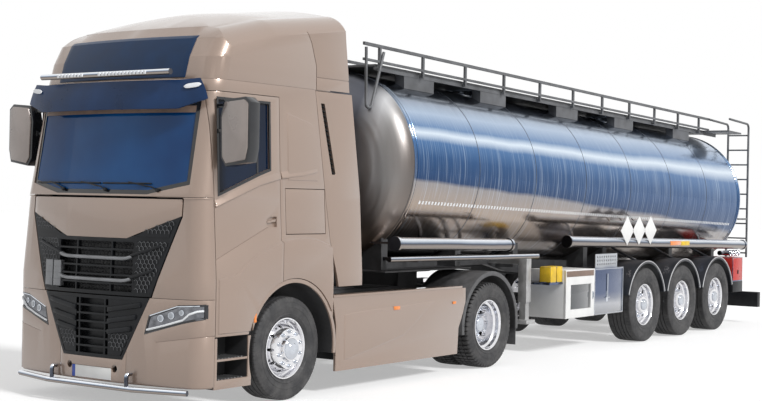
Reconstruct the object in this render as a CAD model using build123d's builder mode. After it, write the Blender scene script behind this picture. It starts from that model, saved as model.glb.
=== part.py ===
from build123d import *
import os
from math import atan2, cos, radians, sin, sqrt

# Articulated tanker lorry: two-axle tractor with a high-roof sleeper cab, and a three-axle tank semi-trailer.
# Millimetres. Nose towards -Y, +X to the vehicle's left, Z up from the road, origin under the box's middle.
# A station is a distance back from the bumper's face. Outlines are (station, height) or (x, height).

FRONT_END = -57
REAR_END = 14100
NOSE = -(FRONT_END + REAR_END) / 2
GAP = 6
LID_GAP = 14
SIDES = (("left", 1), ("right", -1))

# Axles and wheels
FRONT_AXLE = 1467
DRIVE_AXLE = 5216
BOGIE = (9577, 10887, 12197)
KINGPIN = 4630
TYRE_R = 507
TYRE_W = 312
WIDE_TYRE_R = 530
WIDE_TYRE_W = 385
FRONT_WHEEL_X = 1032
DRIVE_WHEEL_X = (735, 1075)
DRIVE_HUB_X = 905
TRAILER_WHEEL_X = 1030
LIP_R = 298
BEAD_R = 287.7
SEAT_R = 287.4
BARREL_R = 274
RIM_HALF = 127
WIDE_RIM_HALF = 162
STEER_X = 870
SPINDLE_R = 66
SPINDLE_BORE_R = 66.1
PIN_R = 22
PIN_BORE_R = 22.1
AXLE_Z = TYRE_R
TRAILER_AXLE_Z = WIDE_TYRE_R

# Cab
CAB_REAR = 2100
CAB_FLOOR = 1300
CAB_CEILING = 3000
CAB_TOP = 3060
CAB_WALL = 60
CAB_SKIRT = 690
BOW_R = 4500
CORNER_R = 200
PANEL = 38
GROOVE = 5
SCREEN_SILL = 1966
FIREWALL = 360
BUMPER_REAR = 330
BUMPER_TOP = 1036
DOOR_FRONT = 336
DOOR_REAR = 1290
DOOR_TOP = 2950
DOOR_SILL = 690
DOOR_THICK = 70
ARCH_GAP_R = 690
ARCH_R = 645
FLARE_X = (1215, 1262)
REACH = 1600

# height, half width, set-back of the front
CAB_LEVELS = (
    (230, 1250, 0),
    (1200, 1250, 0),
    (1950, 1205, 38),
    (CAB_TOP, 1160, 222),
)
# height, half width, set-back of the front
ROOF_LEVELS = (
    (CAB_TOP + 2, 1158, 232),
    (3270, 1156, 290),
    (3450, 1150, 385),
    (3580, 1145, 560),
    (4000, 1140, 1700),
)

# Tank and trailer
TANK_R = 1080
TANK_FRONT = 3790
TANK_REAR = 13430
TANK_FRONT_Z = 2357
TANK_REAR_Z = 2058
CROWN_R = 1900
KNUCKLE_R = 270
PLATE_Z = 1165
RAIL_X = 400


def side_plane(x=0):
    return Plane(origin=(x, NOSE, 0), x_dir=(0, 1, 0), z_dir=(1, 0, 0))


def plan_plane(z=0):
    return Plane(origin=(0, NOSE, z), x_dir=(1, 0, 0), z_dir=(0, 0, 1))


def cross_plane(station=0):
    return Plane(origin=(0, NOSE + station, 0), x_dir=(1, 0, 0), z_dir=(0, -1, 0))


def keep(piece, label):
    piece.part.label = label
    export_step(piece.part, f"parts/{label}.step")


def prism(plane, points, depth, grow=0, taper=0):
    with BuildPart() as solid:
        with BuildSketch(plane):
            with BuildLine():
                Polyline(*points, close=True)
            make_face()
            if grow:
                offset(amount=grow, kind=Kind.INTERSECTION)
        extrude(amount=depth, taper=taper)
    return solid.part


def side_prism(points, low=-REACH, high=REACH, grow=0):
    return prism(side_plane(low), points, high - low, grow)


def front_prism(points, grow=0, rear=600, front=-400):
    return prism(cross_plane(rear), points, rear - front, grow)


def block(x, station, z):
    corners = ((x[0], station[0]), (x[1], station[0]), (x[1], station[1]), (x[0], station[1]))
    return prism(plan_plane(z[0]), corners, z[1] - z[0])


def outside(x, station, z):
    """A block given by distances from the middle, with its twin on the other side."""
    return both_sides(block(x, station, z))


def cylinder_across(radius, station, height, low=-REACH, high=REACH):
    with BuildPart() as solid:
        with BuildSketch(side_plane(low)):
            with Locations((station, height)):
                Circle(radius)
        extrude(amount=high - low)
    return solid.part


def upright(radius, x, station, low, high):
    with BuildPart() as solid:
        with BuildSketch(plan_plane(low)):
            with Locations((x, station)):
                Circle(radius)
        extrude(amount=high - low)
    return solid.part


def hole_along(radius, x, z, front, rear):
    with BuildPart() as solid:
        with BuildSketch(cross_plane(rear)):
            with Locations((x, z)):
                Circle(radius)
        extrude(amount=rear - front)
    return solid.part


def at(x, station, z):
    return (x, NOSE + station, z)


def pipe(points, radius, bend=0):
    places = [Vector(*at(*point)) for point in points]
    with BuildPart() as solid:
        with BuildLine():
            if bend:
                FilletPolyline(*places, radius=bend)
            else:
                Polyline(*places)
        with BuildSketch(Plane(origin=places[0], z_dir=places[1] - places[0])):
            Circle(radius)
        sweep(transition=Transition.RIGHT)
    return solid.part


def both_sides(solid):
    return [solid, mirror(solid, about=Plane.YZ)]


def two_handed(points):
    return list(points) + [(-x, z) for x, z in reversed(points)]


os.makedirs("parts", exist_ok=True)


# Cab form: a bowed front with rounded corners, leaning in above the waist
def cab_line(half_width, front, rear):
    across = half_width - CORNER_R
    along = front + BOW_R - sqrt((BOW_R - CORNER_R) ** 2 - across**2)
    tilt = atan2(front + BOW_R - along, across)
    meet = (BOW_R * cos(tilt), front + BOW_R * (1 - sin(tilt)))
    bulge = (across + CORNER_R * cos(tilt / 2), along - CORNER_R * sin(tilt / 2))
    ThreePointArc((-meet[0], meet[1]), (0, front), meet)
    ThreePointArc(meet, bulge, (half_width, along))
    Polyline((half_width, along), (half_width, rear), (-half_width, rear), (-half_width, along))
    ThreePointArc((-half_width, along), (-bulge[0], bulge[1]), (-meet[0], meet[1]))


def cab_slice(low, high, hand, rear):
    with BuildPart() as half:
        with BuildSketch(plan_plane(low[0])):
            with BuildLine():
                cab_line(low[1], low[2], CAB_REAR + 1900)
            make_face()
        lean = Vector(hand * (high[1] - low[1]), high[2] - low[2], high[0] - low[0])
        extrude(amount=lean.length, dir=lean)
        split(bisect_by=Plane.YZ, keep=Keep.TOP if hand > 0 else Keep.BOTTOM)
        split(bisect_by=Plane.XZ.offset(-(NOSE + rear)), keep=Keep.TOP)
    return half.part


def cab_form(inset=0, levels=CAB_LEVELS, rear=CAB_REAR):
    shrunk = [(height, width - inset, front + inset) for height, width, front in levels]
    slices = [cab_slice(low, high, hand, rear) for low, high in zip(shrunk, shrunk[1:]) for hand in (1, -1)]
    with BuildPart() as form:
        for piece in slices:
            add(piece)
    return form.part


DOOR = ((DOOR_FRONT, DOOR_SILL), (DOOR_FRONT, DOOR_TOP), (DOOR_REAR, DOOR_TOP), (DOOR_REAR, DOOR_SILL))
WINDOW = ((412, 2010), (412, 2870), (1130, 2870), (1130, 2250), (980, 2205))
HATCH = ((1360, 1620), (1360, 2070), (1990, 2070), (1990, 1620))
SCREEN = two_handed(((600, 1985), (1045, 2080), (1045, 2850)))
LID = two_handed(((705, 1045), (985, 1790), (985, 1946)))
LID_SPLIT = (
    (-1200, 1800),
    (-985, 1790),
    (-400, 1575),
    (400, 1575),
    (985, 1790),
    (1200, 1800),
    (1200, 2100),
    (-1200, 2100),
)
LOWER_GRILLE = two_handed(((395, 450), (698, BUMPER_TOP)))
HEADLAMP = ((640, 700), (690, 880), (1000, 985), (1400, 1010), (1400, 900), (1050, 820))
LAMP_REAR = 240
# The deflector's front edge, and the end of its back edge
DEFLECTOR = ((1866, 3050), (2470, 3050), (2590, 2000), (2590, 1085), (2190, 1085), (2062, 1550))
VENT = ((1950, 2930), (2010, 2930), (2175, 2220), (2115, 2220))
DEFLECTOR_THICK = 34

cab_outer = cab_form()
cab_inner = cab_form(CAB_WALL, rear=CAB_REAR - CAB_WALL)
door_inner = cab_form(DOOR_THICK)
groove_skin = cab_outer - cab_form(GROOVE)
arch_cut = cylinder_across(ARCH_GAP_R, FRONT_AXLE, AXLE_Z)
tyre_cut = cylinder_across(ARCH_R, FRONT_AXLE, AXLE_Z)


# Flare over the front wheel: a shoulder that rises from the door's front edge over the arch
def arch_flare():
    with BuildPart() as solid:
        with BuildSketch(side_plane(FLARE_X[0])):
            with BuildLine():
                Polyline((2092, 1500), (2092, 700), (352, 700), (352, 1240), (620, 1275))
                ThreePointArc((620, 1275), (830, 1410), (1120, 1520))
                ThreePointArc((1120, 1520), (1620, 1606), (2092, 1500))
            make_face()
        extrude(amount=FLARE_X[1] - FLARE_X[0], taper=30)
    return solid.part


flares = both_sides(arch_flare())


# Raised panel on the sleeper side, on the leaning upper wall
def sleeper_panel():
    wall_x, wall_z = CAB_LEVELS[2][1], CAB_LEVELS[2][0]
    rise = CAB_LEVELS[3][0] - wall_z
    lean_in = wall_x - CAB_LEVELS[3][1]
    wall = Plane(origin=at(wall_x - 6, 0, wall_z), x_dir=(0, 1, 0), z_dir=(rise, 0, lean_in))
    with BuildPart() as solid:
        with BuildSketch(wall):
            with BuildLine():
                Polyline((1760, 780), (1400, 860), (1400, 190), (1880, 190), (1880, 600))
                ThreePointArc((1880, 600), (1850, 715), (1760, 780))
            make_face()
        extrude(amount=16, taper=40)
    return solid.part


sleeper_panels = both_sides(sleeper_panel())

# Cab shell: floor, firewall, pillars, sleeper sides and rear wall
cavity = cab_inner
for waste in (
    block((-REACH, REACH), (-300, 2400), (0, CAB_FLOOR)),
    block((-REACH, REACH), (-300, 2400), (CAB_CEILING, 3300)),
    block((-REACH, REACH), (-300, FIREWALL + 40), (0, 1940)),
):
    cavity = cavity - waste
deep_opening = side_prism(DOOR, 1000, REACH) - block((-REACH, REACH), (0, 2400), (0, CAB_FLOOR + 5))
door_openings = [*both_sides(side_prism(DOOR, 1120, REACH)), *both_sides(deep_opening)]
underside = cab_inner - block((-REACH, REACH), (-300, 2400), (CAB_FLOOR - 60, 3300))
deflector_seat = side_prism(DEFLECTOR, grow=GAP) - cab_form(DEFLECTOR_THICK + GAP, rear=2700)
shell_cuts = (
    block((-REACH, REACH), (-300, BUMPER_REAR), (0, SCREEN_SILL)),
    block((-REACH, REACH), (-300, 2400), (0, CAB_SKIRT)),
    block((-1140, 1140), (1900, 2400), (0, CAB_FLOOR - 60)),
    cavity,
    underside,
    arch_cut,
    deflector_seat,
    side_prism(HATCH),
    front_prism(SCREEN),
    *door_openings,
)
with BuildPart() as cab_shell:
    add(cab_outer)
    for solid in (*flares, *sleeper_panels):
        add(solid)
    for solid in shell_cuts:
        add(solid, mode=Mode.SUBTRACT)
keep(cab_shell, "cab_shell")

# Windscreen: a curved pane in its opening
screen_front = cab_form(14)
screen_back = cab_form(24)
screen_opening = front_prism(SCREEN)
with BuildPart() as windscreen:
    add(screen_front)
    add(screen_back, mode=Mode.SUBTRACT)
    add(screen_opening, mode=Mode.INTERSECT)
keep(windscreen, "windscreen")

# Doors, with their window openings, handle pockets and lower seams, and the panes
DOOR_SEAM = ((330, 1400), (1080, 1694), (1080, 1689), (330, 1395))
POCKET = ((1072, 1695), (1072, 1770), (1130, 1795), (1222, 1795), (1222, 1695))
HANDLE = ((1085, 1732), (1085, 1752), (1216, 1772), (1216, 1748))
door_skin = cab_outer - door_inner
pane_skin = cab_form(20) - cab_form(28)
for side, hand in SIDES:
    low, high = sorted((hand * 1062, hand * REACH))
    pocket = side_prism(POCKET, *sorted((hand * 1190, hand * REACH)))
    handle = side_prism(HANDLE, *sorted((hand * 1185, hand * 1212)))
    seam = groove_skin & side_prism(DOOR_SEAM, low, high)
    opening = side_prism(DOOR, low, high, -GAP)
    window = side_prism(WINDOW)
    pane = side_prism(WINDOW, low, high)
    with BuildPart() as door:
        add(door_skin)
        for solid in flares:
            add(solid)
        add(opening, mode=Mode.INTERSECT)
        for solid in (arch_cut, window, pocket, seam):
            add(solid, mode=Mode.SUBTRACT)
        add(handle)
    keep(door, f"door_{side}")
    with BuildPart() as door_glass:
        add(pane_skin)
        add(pane, mode=Mode.INTERSECT)
    keep(door_glass, f"door_glass_{side}")

# Locker hatches in the sleeper sides
hatch_skin = cab_outer - cab_form(CAB_WALL - 10)
for side, hand in SIDES:
    low, high = sorted((hand * 900, hand * REACH))
    outline = side_prism(HATCH, low, high, -GAP)
    with BuildPart() as locker_hatch:
        add(hatch_skin)
        add(outline, mode=Mode.INTERSECT)
    keep(locker_hatch, f"locker_hatch_{side}")


# Grille bars: rows of slots between posts, inside an outline whose sides lean outwards
def grille_slots(foot, head, rows, posts, bar, rim):
    """foot and head are (half width, height); posts are half widths where an upright bar stands."""
    pitch = (head[1] - foot[1] - 2 * rim + bar) / rows
    lean_out = (head[0] - foot[0]) / (head[1] - foot[1])
    slots = []
    for row in range(rows):
        low = foot[1] + rim + row * pitch
        high = low + pitch - bar
        edges = [foot[0] + (z - foot[1]) * lean_out - rim for z in (low, high)]
        starts = (0, *posts)
        for start, end in zip(starts, (*posts, None)):
            inner = start + bar / 2 if start else -(posts[0] - bar / 2)
            ends = [end - bar / 2] * 2 if end else edges
            slot = ((inner, low), (ends[0], low), (ends[1], high), (inner, high))
            solid = front_prism(slot)
            slots += both_sides(solid) if start else [solid]
    return slots


# Front lid: painted top panel and the black grille under it
panel_inner = cab_form(PANEL)
front_skin = cab_outer - panel_inner - block((-REACH, REACH), (BUMPER_REAR, 2400), (0, 3300))
lid_skin = front_skin & front_prism(LID)
lid_split = front_prism(LID_SPLIT)
upper_slots = grille_slots((705, 1045), (900, 1575), 6, (230, 500), 16, 34)
wing_slots = []
for share in (0, 1, 2):
    foot_z = 1600 + 52 * share
    inner_x = 470 + 130 * share
    outer_x = 862 + 20 * share
    wing = ((inner_x, foot_z), (outer_x, foot_z), (outer_x + 14, foot_z + 36), (inner_x + 98, foot_z + 36))
    wing_slots += both_sides(front_prism(wing))
with BuildPart() as front_panel:
    add(lid_skin)
    add(lid_split, mode=Mode.INTERSECT)
keep(front_panel, "front_panel")
with BuildPart() as upper_grille:
    add(lid_skin)
    for solid in (lid_split, *upper_slots, *wing_slots):
        add(solid, mode=Mode.SUBTRACT)
keep(upper_grille, "upper_grille")

# Corner panels beside the lid
corner_cuts = (
    block((-REACH, REACH), (-300, 600), (0, BUMPER_TOP + 4)),
    block((-REACH, REACH), (-300, 600), (SCREEN_SILL - 4, 3300)),
    front_prism(LID, LID_GAP),
    block((-720, 720), (-300, 600), (0, 3300)),
)
with BuildPart() as corner_panels:
    add(front_skin)
    for solid in corner_cuts:
        add(solid, mode=Mode.SUBTRACT)
keep(corner_panels, "corner_panels")

# Bumper, with openings for the grille, headlamps and tow sockets, a plate recess and a set-back lower lip
TOW_X = 300
CHIN_SEAM = (438, 442)
TOW_Z = 360
TOW_R = 20
TOW_MOUTH_R = 34
BUMPER_CREASE = ((770, 640), (1400, 735), (1400, 729), (770, 634))
PLATE = ((-262, 245), (-262, 365), (262, 365), (262, 245))
outer_skin = cab_outer - cab_form(14)
bumper_cuts = [
    block((-REACH, REACH), (-300, 600), (BUMPER_TOP, 3300)),
    front_prism(LOWER_GRILLE),
    outer_skin & front_prism(PLATE),
    outer_skin & block((-REACH, REACH), (-300, 600), (200, 243)),
    *both_sides(front_prism(HEADLAMP, 0, LAMP_REAR)),
    *both_sides(hole_along(TOW_MOUTH_R, TOW_X, TOW_Z, -300, 165)),
    *both_sides(groove_skin & front_prism(BUMPER_CREASE)),
    *outside(CHIN_SEAM, (-300, 600), (0, 700)),
]
with BuildPart() as front_bumper:
    add(front_skin)
    for solid in bumper_cuts:
        add(solid, mode=Mode.SUBTRACT)
keep(front_bumper, "front_bumper")
lower_outline = front_prism(LOWER_GRILLE, -2)
lower_slots = grille_slots((395, 450), (698, BUMPER_TOP), 7, (170,), 18, 34)
with BuildPart() as lower_grille:
    add(front_skin)
    add(lower_outline, mode=Mode.INTERSECT)
    for solid in lower_slots:
        add(solid, mode=Mode.SUBTRACT)
keep(lower_grille, "lower_grille")
lamp_skin = cab_form(6) - cab_form(90) - block((-REACH, REACH), (BUMPER_REAR, 2400), (0, 3300))
lamp = lamp_skin & front_prism(HEADLAMP, -2, LAMP_REAR - 2)
with BuildPart() as headlamps:
    for solid in both_sides(lamp):
        add(solid)
keep(headlamps, "headlamps")


# Roof: its section runs up and back along two slopes, and the cab's plan rounds its front
ROOF_RUNS = ((150, 1250, 0.235), (1250, 2440, 0.14))
ROOF_LIP = 1160


def roof_run(start, end, slope, lift):
    lip_z = 3240 + lift
    with BuildPart() as solid:
        with BuildSketch(cross_plane(start)):
            with BuildLine():
                ThreePointArc((-880, 3452 + lift), (0, 3552 + lift), (880, 3452 + lift))
                ThreePointArc((880, 3452 + lift), (1075, 3372 + lift), (ROOF_LIP, lip_z))
                Polyline((ROOF_LIP, lip_z), (ROOF_LIP, 2400), (-ROOF_LIP, 2400), (-ROOF_LIP, lip_z))
                ThreePointArc((-ROOF_LIP, lip_z), (-1075, 3372 + lift), (-880, 3452 + lift))
            make_face()
        run = Vector(0, end - start, (end - start) * slope)
        extrude(amount=run.length, dir=run)
    return solid.part


with BuildPart() as roof_room:
    height = 0
    for start, end, slope in ROOF_RUNS:
        add(roof_run(start, end, slope, height))
        height += (end - start) * slope
SEAM_LINE = ((1872, 3050), (1872, 3300), (1800, 3520), (1690, 3700), (1690, 4100))
ROOF_SEAM = SEAM_LINE + tuple((station + 9, z) for station, z in reversed(SEAM_LINE))
ROOF_LEDGE = ((1878, 3190), (2600, 3190), (2600, 3182), (1878, 3182))
ROOF_TAIL = ((2430, 3060), (2330, 4100), (2700, 4100), (2700, 3060))
roof_outer = cab_form(0, ROOF_LEVELS, 2440)
roof_inner = cab_form(CAB_WALL, ROOF_LEVELS, 1970) - block((-REACH, REACH), (0, 2400), (3400, 4100))
roof_skin = roof_outer - cab_form(8, ROOF_LEVELS, 2440)
roof_cuts = (
    roof_inner,
    block((-900, 900), (2040, 2380), (3000, 3620)),
    side_prism(ROOF_TAIL),
    side_prism(ROOF_SEAM) - cab_form(14, ROOF_LEVELS, 2600) - block((-880, 880), (0, 3000), (3000, 4200)),
    roof_skin & side_prism(ROOF_LEDGE),
    block((-REACH, REACH), (CAB_REAR + 4, 2700), (3000, 3068)),
)
with BuildPart() as cab_roof:
    add(roof_outer)
    add(roof_room.part, mode=Mode.INTERSECT)
    for solid in roof_cuts:
        add(solid, mode=Mode.SUBTRACT)
keep(cab_roof, "cab_roof")

# Side deflectors: they carry the cab's sides on behind a seam, each with a vent slot
deflector_skin = cab_form(0, rear=2700) - cab_form(DEFLECTOR_THICK, rear=2720)
deflector_outline = side_prism(DEFLECTOR)
vent = side_prism(VENT)
with BuildPart() as side_deflectors:
    add(deflector_skin)
    add(deflector_outline, mode=Mode.INTERSECT)
    add(vent, mode=Mode.SUBTRACT)
keep(side_deflectors, "side_deflectors")

# Sun visor: a curved blade that stands off the roof's front edge
visor_front = cab_form(-130)
visor_back = cab_form(-105)
VISOR = two_handed(((900, 2772), (1340, 2905), (1340, 3075), (900, 3040)))
visor_outline = front_prism(VISOR, 0, 240)
with BuildPart() as sun_visor:
    add(visor_front)
    add(visor_back, mode=Mode.SUBTRACT)
    add(visor_outline, mode=Mode.INTERSECT)
keep(sun_visor, "sun_visor")

# Chrome tubes: the bar under the bumper with its uprights, and the lamp bar above the visor
BAR_R = 27
SEAT_GAP = 0.3
cab_seat = cab_form(-SEAT_GAP)
with BuildPart() as chrome_bars:
    add(pipe(((-1120, 120, 196), (-560, -30, 196), (560, -30, 196), (1120, 120, 196)), BAR_R, 120))
    for solid in both_sides(pipe(((500, -30, 196), (500, -30, 330), (500, 40, 330)), 20, 30) - cab_seat):
        add(solid)
    add(pipe(((-860, 100, 3110), (860, 100, 3110)), 28))
keep(chrome_bars, "chrome_bars")

# Mirrors on the doors: a tall housing that leans outwards, on two arms
MIRROR = (
    (1275, 2330),
    (1262, 2700),
    (1300, 2860),
    (1560, 2880),
    (1620, 2830),
    (1620, 2420),
    (1590, 2290),
    (1330, 2250),
)
ARM_X = (1165, 1310)
ARM_FEET = (2560, 2790)
ARM_SIZE = 36
mirror_shell = prism(cross_plane(470), MIRROR, 130)
for side, hand in SIDES:
    arm_x = sorted((hand * ARM_X[0], hand * ARM_X[1]))
    arms = [block(arm_x, (395, 395 + ARM_SIZE), (foot, foot + ARM_SIZE)) - cab_seat for foot in ARM_FEET]
    head = mirror_shell if hand > 0 else mirror(mirror_shell, about=Plane.YZ)
    with BuildPart() as mirror_head:
        for solid in (head, *arms):
            add(solid)
    keep(mirror_head, f"mirror_{side}")

# Cab inside: seats with the bunk, and the dashboard with the wheel
with BuildPart() as seats:
    for hand in (1, -1):
        x = sorted((hand * 400, hand * 900))
        add(block(x, (900, 1380), (1500, 1720)))
        add(block(x, (1330, 1440), (1500, 2350)))
        add(block(x, (950, 1330), (CAB_FLOOR, 1500)))
    add(block((-1040, 1040), (1480, 2030), (1700, 1850)))
keep(seats, "seats")
WHEEL_RIM_R = 225
wheel_face = Plane(origin=at(650, 830, 1960), x_dir=(1, 0, 0), z_dir=(0, 0.62, 0.78))
column = pipe(((650, 660, 1850), (650, 830, 1985)), 30)
with BuildPart() as dashboard:
    add(block((-1040, 1040), (405, 720), (1700, 1960)))
    add(block((-350, 350), (405, 720), (CAB_FLOOR, 1700)))
    with BuildSketch(wheel_face):
        Circle(WHEEL_RIM_R)
        Circle(WHEEL_RIM_R - 28, mode=Mode.SUBTRACT)
        Rectangle(2 * WHEEL_RIM_R - 20, 36)
        Circle(60)
    extrude(amount=24)
    add(column)
keep(dashboard, "dashboard")

# Engine and gearbox, one plain mass under the cab floor
with BuildPart() as engine:
    add(block((-330, 330), (560, 1900), (560, 1225)))
    add(block((-230, 230), (1900, 2700), (600, 1000)))
keep(engine, "engine")

# Tractor frame: channel rails, cross-members, the front beam with its tow sockets, and the deck plate
tow_bores = both_sides(hole_along(TOW_R, TOW_X, TOW_Z, 0, 400))
RAIL = ((350, 690), (430, 690), (430, 960), (350, 960), (350, 950), (420, 950), (420, 700), (350, 700))
with BuildPart() as tractor_frame:
    for solid in both_sides(prism(cross_plane(6250), RAIL, 6250 - 380)):
        add(solid)
    add(block((-430, 430), (2760, 3560), (962, 982)))
    for station in (400, 2850, 3600, 4350, 5850, 6200):
        add(block((-420, 420), (station, station + 50), (740, 900)))
    add(block((-860, 860), (170, 270), (300, 420)))
    for solid in both_sides(block((350, 430), (170, 480), (420, 690))):
        add(solid)
    for solid in tow_bores:
        add(solid, mode=Mode.SUBTRACT)
keep(tractor_frame, "tractor_frame")

# Front axle beam with eyes for the steering pins, and its leaf springs
with BuildPart() as front_axle:
    add(block((-STEER_X, STEER_X), (FRONT_AXLE - 45, FRONT_AXLE + 45), (400, 490)))
    for solid in both_sides(upright(50, STEER_X, FRONT_AXLE, 400, 600)):
        add(solid)
    for solid in both_sides(upright(PIN_BORE_R, STEER_X, FRONT_AXLE, 300, 700)):
        add(solid, mode=Mode.SUBTRACT)
    for solid in both_sides(block((355, 445), (650, 2300), (490, 560))):
        add(solid)
    for station in (650, 2220):
        for solid in both_sides(block((355, 445), (station, station + 80), (560, 690))):
            add(solid)
keep(front_axle, "front_axle")

# Steering knuckles
for side, hand in SIDES:
    ears = [upright(50, hand * STEER_X, FRONT_AXLE, low, low + 40) for low in (350, 610)]
    pin = upright(PIN_R, hand * STEER_X, FRONT_AXLE, 350, 650)
    web_x = sorted((hand * (STEER_X + 55), hand * (STEER_X + 85)))
    ear_x = sorted((hand * STEER_X, hand * (STEER_X + 60)))
    depth = (FRONT_AXLE - 50, FRONT_AXLE + 50)
    web = block(web_x, depth, (350, 650))
    ear_webs = [block(ear_x, depth, (low, low + 40)) for low in (350, 610)]
    low, high = sorted((hand * (STEER_X + 70), hand * 1130))
    spindle = cylinder_across(SPINDLE_R, FRONT_AXLE, AXLE_Z, low, high)
    with BuildPart() as knuckle:
        for solid in (*ears, pin, web, *ear_webs, spindle):
            add(solid)
    keep(knuckle, f"knuckle_{side}")


# Wheels: sections are (outboard distance from the tyre's middle, radius), turned about the axle
def wheel_plane(x, station, height, hand):
    return Plane(origin=at(x, station, height), x_dir=(hand, 0, 0), z_dir=(0, -hand, 0))


def turned(plane, draw):
    with BuildPart() as solid:
        with BuildSketch(plane):
            with BuildLine():
                draw()
            make_face()
        revolve(axis=Axis(plane.origin, plane.x_dir))
    return solid.part


def tyre_line(radius, width, rim_half, middle=0):
    half = width / 2
    flank = (
        (rim_half - 14.5, BEAD_R),
        (rim_half - 14.5, LIP_R + 2),
        (half - 8, BEAD_R + 50),
        (half, BEAD_R + 100),
        (half - 6, radius - 60),
        (half - 22, radius - 20),
        (half - 44, radius - 4),
        (half - 80, radius),
    )

    def draw():
        section = [(middle + u, r) for u, r in flank]
        Polyline(*section, *[(middle - u, r) for u, r in reversed(flank)], close=True)

    return draw


def barrel(half):
    seat = [(-half + 14, SEAT_R), (-half + 60, SEAT_R)]
    outer = [(-half, LIP_R), (-half + 12, LIP_R), *seat, (-half + 80, 262)]
    inner = [(half, LIP_R - 12), (half - 18, BARREL_R), (half - 64, BARREL_R), (half - 81, 250)]
    return outer, inner


def rim_line(half, dish, disc, hub_in, hub_out, drum):
    outer, inner = barrel(half)
    section = [
        *outer,
        *[(-u, r) for u, r in reversed(outer)],
        *inner,
        (dish, 250),
        (disc, 196),
        *hub_out,
        *hub_in,
        (disc - 24, 141.7),
        (disc - 24, 192),
        *drum,
        (-half + 81, 250),
        *[(-u, r) for u, r in reversed(inner[:3])],
    ]

    def draw():
        Polyline(*section, close=True)

    return draw


def hub_end(face, spindle_end):
    return [(face - 30, 130), (face, 118), (face, 0), (spindle_end, 0), (spindle_end, SPINDLE_BORE_R)]


for side, hand in SIDES:
    place = wheel_plane(hand * FRONT_WHEEL_X, FRONT_AXLE, AXLE_Z, hand)
    hub = hub_end(200, 110)
    drum = [(-68, SPINDLE_BORE_R), (-68, 205), (-20, 205), (-20, 141.7)]
    with BuildPart() as front_rim:
        add(turned(place, rim_line(RIM_HALF, 60, 172, drum, hub, [(40, 250)])))
    keep(front_rim, f"front_rim_{side}")
    with BuildPart() as front_tyre:
        add(turned(place, tyre_line(TYRE_R, TYRE_W, RIM_HALF)))
    keep(front_tyre, f"front_tyre_{side}")


def dual_line(hub):
    outer, inner = barrel(RIM_HALF)
    section = [
        *outer,
        *[(-u, r) for u, r in reversed(outer)],
        *inner,
        (-20, 250),
        (-146, 196),
        *hub,
        (-170, 200),
        (-54.5, 262),
        *[(-u, r) for u, r in reversed(inner[:3])],
    ]

    def draw():
        Polyline(*section, close=True)

    return draw


HALF_SPAN = (DRIVE_WHEEL_X[1] - DRIVE_WHEEL_X[0]) / 2
for side, hand in SIDES:
    place = wheel_plane(hand * DRIVE_HUB_X, DRIVE_AXLE, AXLE_Z, hand)
    outer = wheel_plane(hand * DRIVE_WHEEL_X[1], DRIVE_AXLE, AXLE_Z, hand)
    inner = wheel_plane(hand * DRIVE_WHEEL_X[0], DRIVE_AXLE, AXLE_Z, -hand)
    hub = hub_end(-30, -55)
    drum = [(-420, SPINDLE_BORE_R), (-420, 205), (-275, 205), (-275, 141.7)]
    hubbed = turned(outer, dual_line(hub + drum))
    plain = turned(inner, dual_line([(-146, 142), (-170, 142)]))
    with BuildPart() as drive_rims:
        add(hubbed)
        add(plain)
    keep(drive_rims, f"drive_rims_{side}")
    with BuildPart() as drive_tyres:
        for middle in (-HALF_SPAN, HALF_SPAN):
            add(turned(place, tyre_line(TYRE_R, TYRE_W, RIM_HALF, middle)))
    keep(drive_tyres, f"drive_tyres_{side}")

for side, hand in SIDES:
    for number, station in enumerate(BOGIE, 1):
        place = wheel_plane(hand * TRAILER_WHEEL_X, station, TRAILER_AXLE_Z, hand)
        hub = hub_end(150, 110)
        drum = [(-190, SPINDLE_BORE_R), (-190, 205), (-40, 205), (-40, 141.7)]
        with BuildPart() as trailer_wheel:
            add(turned(place, rim_line(WIDE_RIM_HALF, 20, 60, drum, hub, [(-20, 250)])))
            add(turned(place, tyre_line(WIDE_TYRE_R, WIDE_TYRE_W, WIDE_RIM_HALF)))
        keep(trailer_wheel, f"trailer_wheel_{side}_{number}")

# Drive axle: housing with spindles, air springs and the propeller shaft
with BuildPart() as drive_axle:
    add(cylinder_across(80, DRIVE_AXLE, AXLE_Z, -640, 640))
    add(cylinder_across(SPINDLE_R, DRIVE_AXLE, AXLE_Z, -1010, 1010))
    add(cylinder_across(210, DRIVE_AXLE, AXLE_Z, -140, 140))
    add(pipe(((0, 2712, 670), (0, 5060, 540)), 50))
    for solid in both_sides(block((360, 440), (4750, 5680), (400, 450))):
        add(solid)
    for station in (4820, 5610):
        for solid in both_sides(upright(115, 400, station, 450, 690)):
            add(solid)
keep(drive_axle, "drive_axle")

# Fifth wheel: a throated plate on its stand
with BuildPart() as fifth_wheel:
    add(block((-470, 470), (KINGPIN - 400, KINGPIN + 420), (PLATE_Z - 45, PLATE_Z - 5)))
    add(block((-430, 430), (KINGPIN - 200, KINGPIN + 200), (960, PLATE_Z - 45)))
    add(upright(40, 0, KINGPIN, 900, 1300), mode=Mode.SUBTRACT)
    add(block((-40, 40), (KINGPIN, KINGPIN + 500), (900, 1300)), mode=Mode.SUBTRACT)
keep(fifth_wheel, "fifth_wheel")

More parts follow.
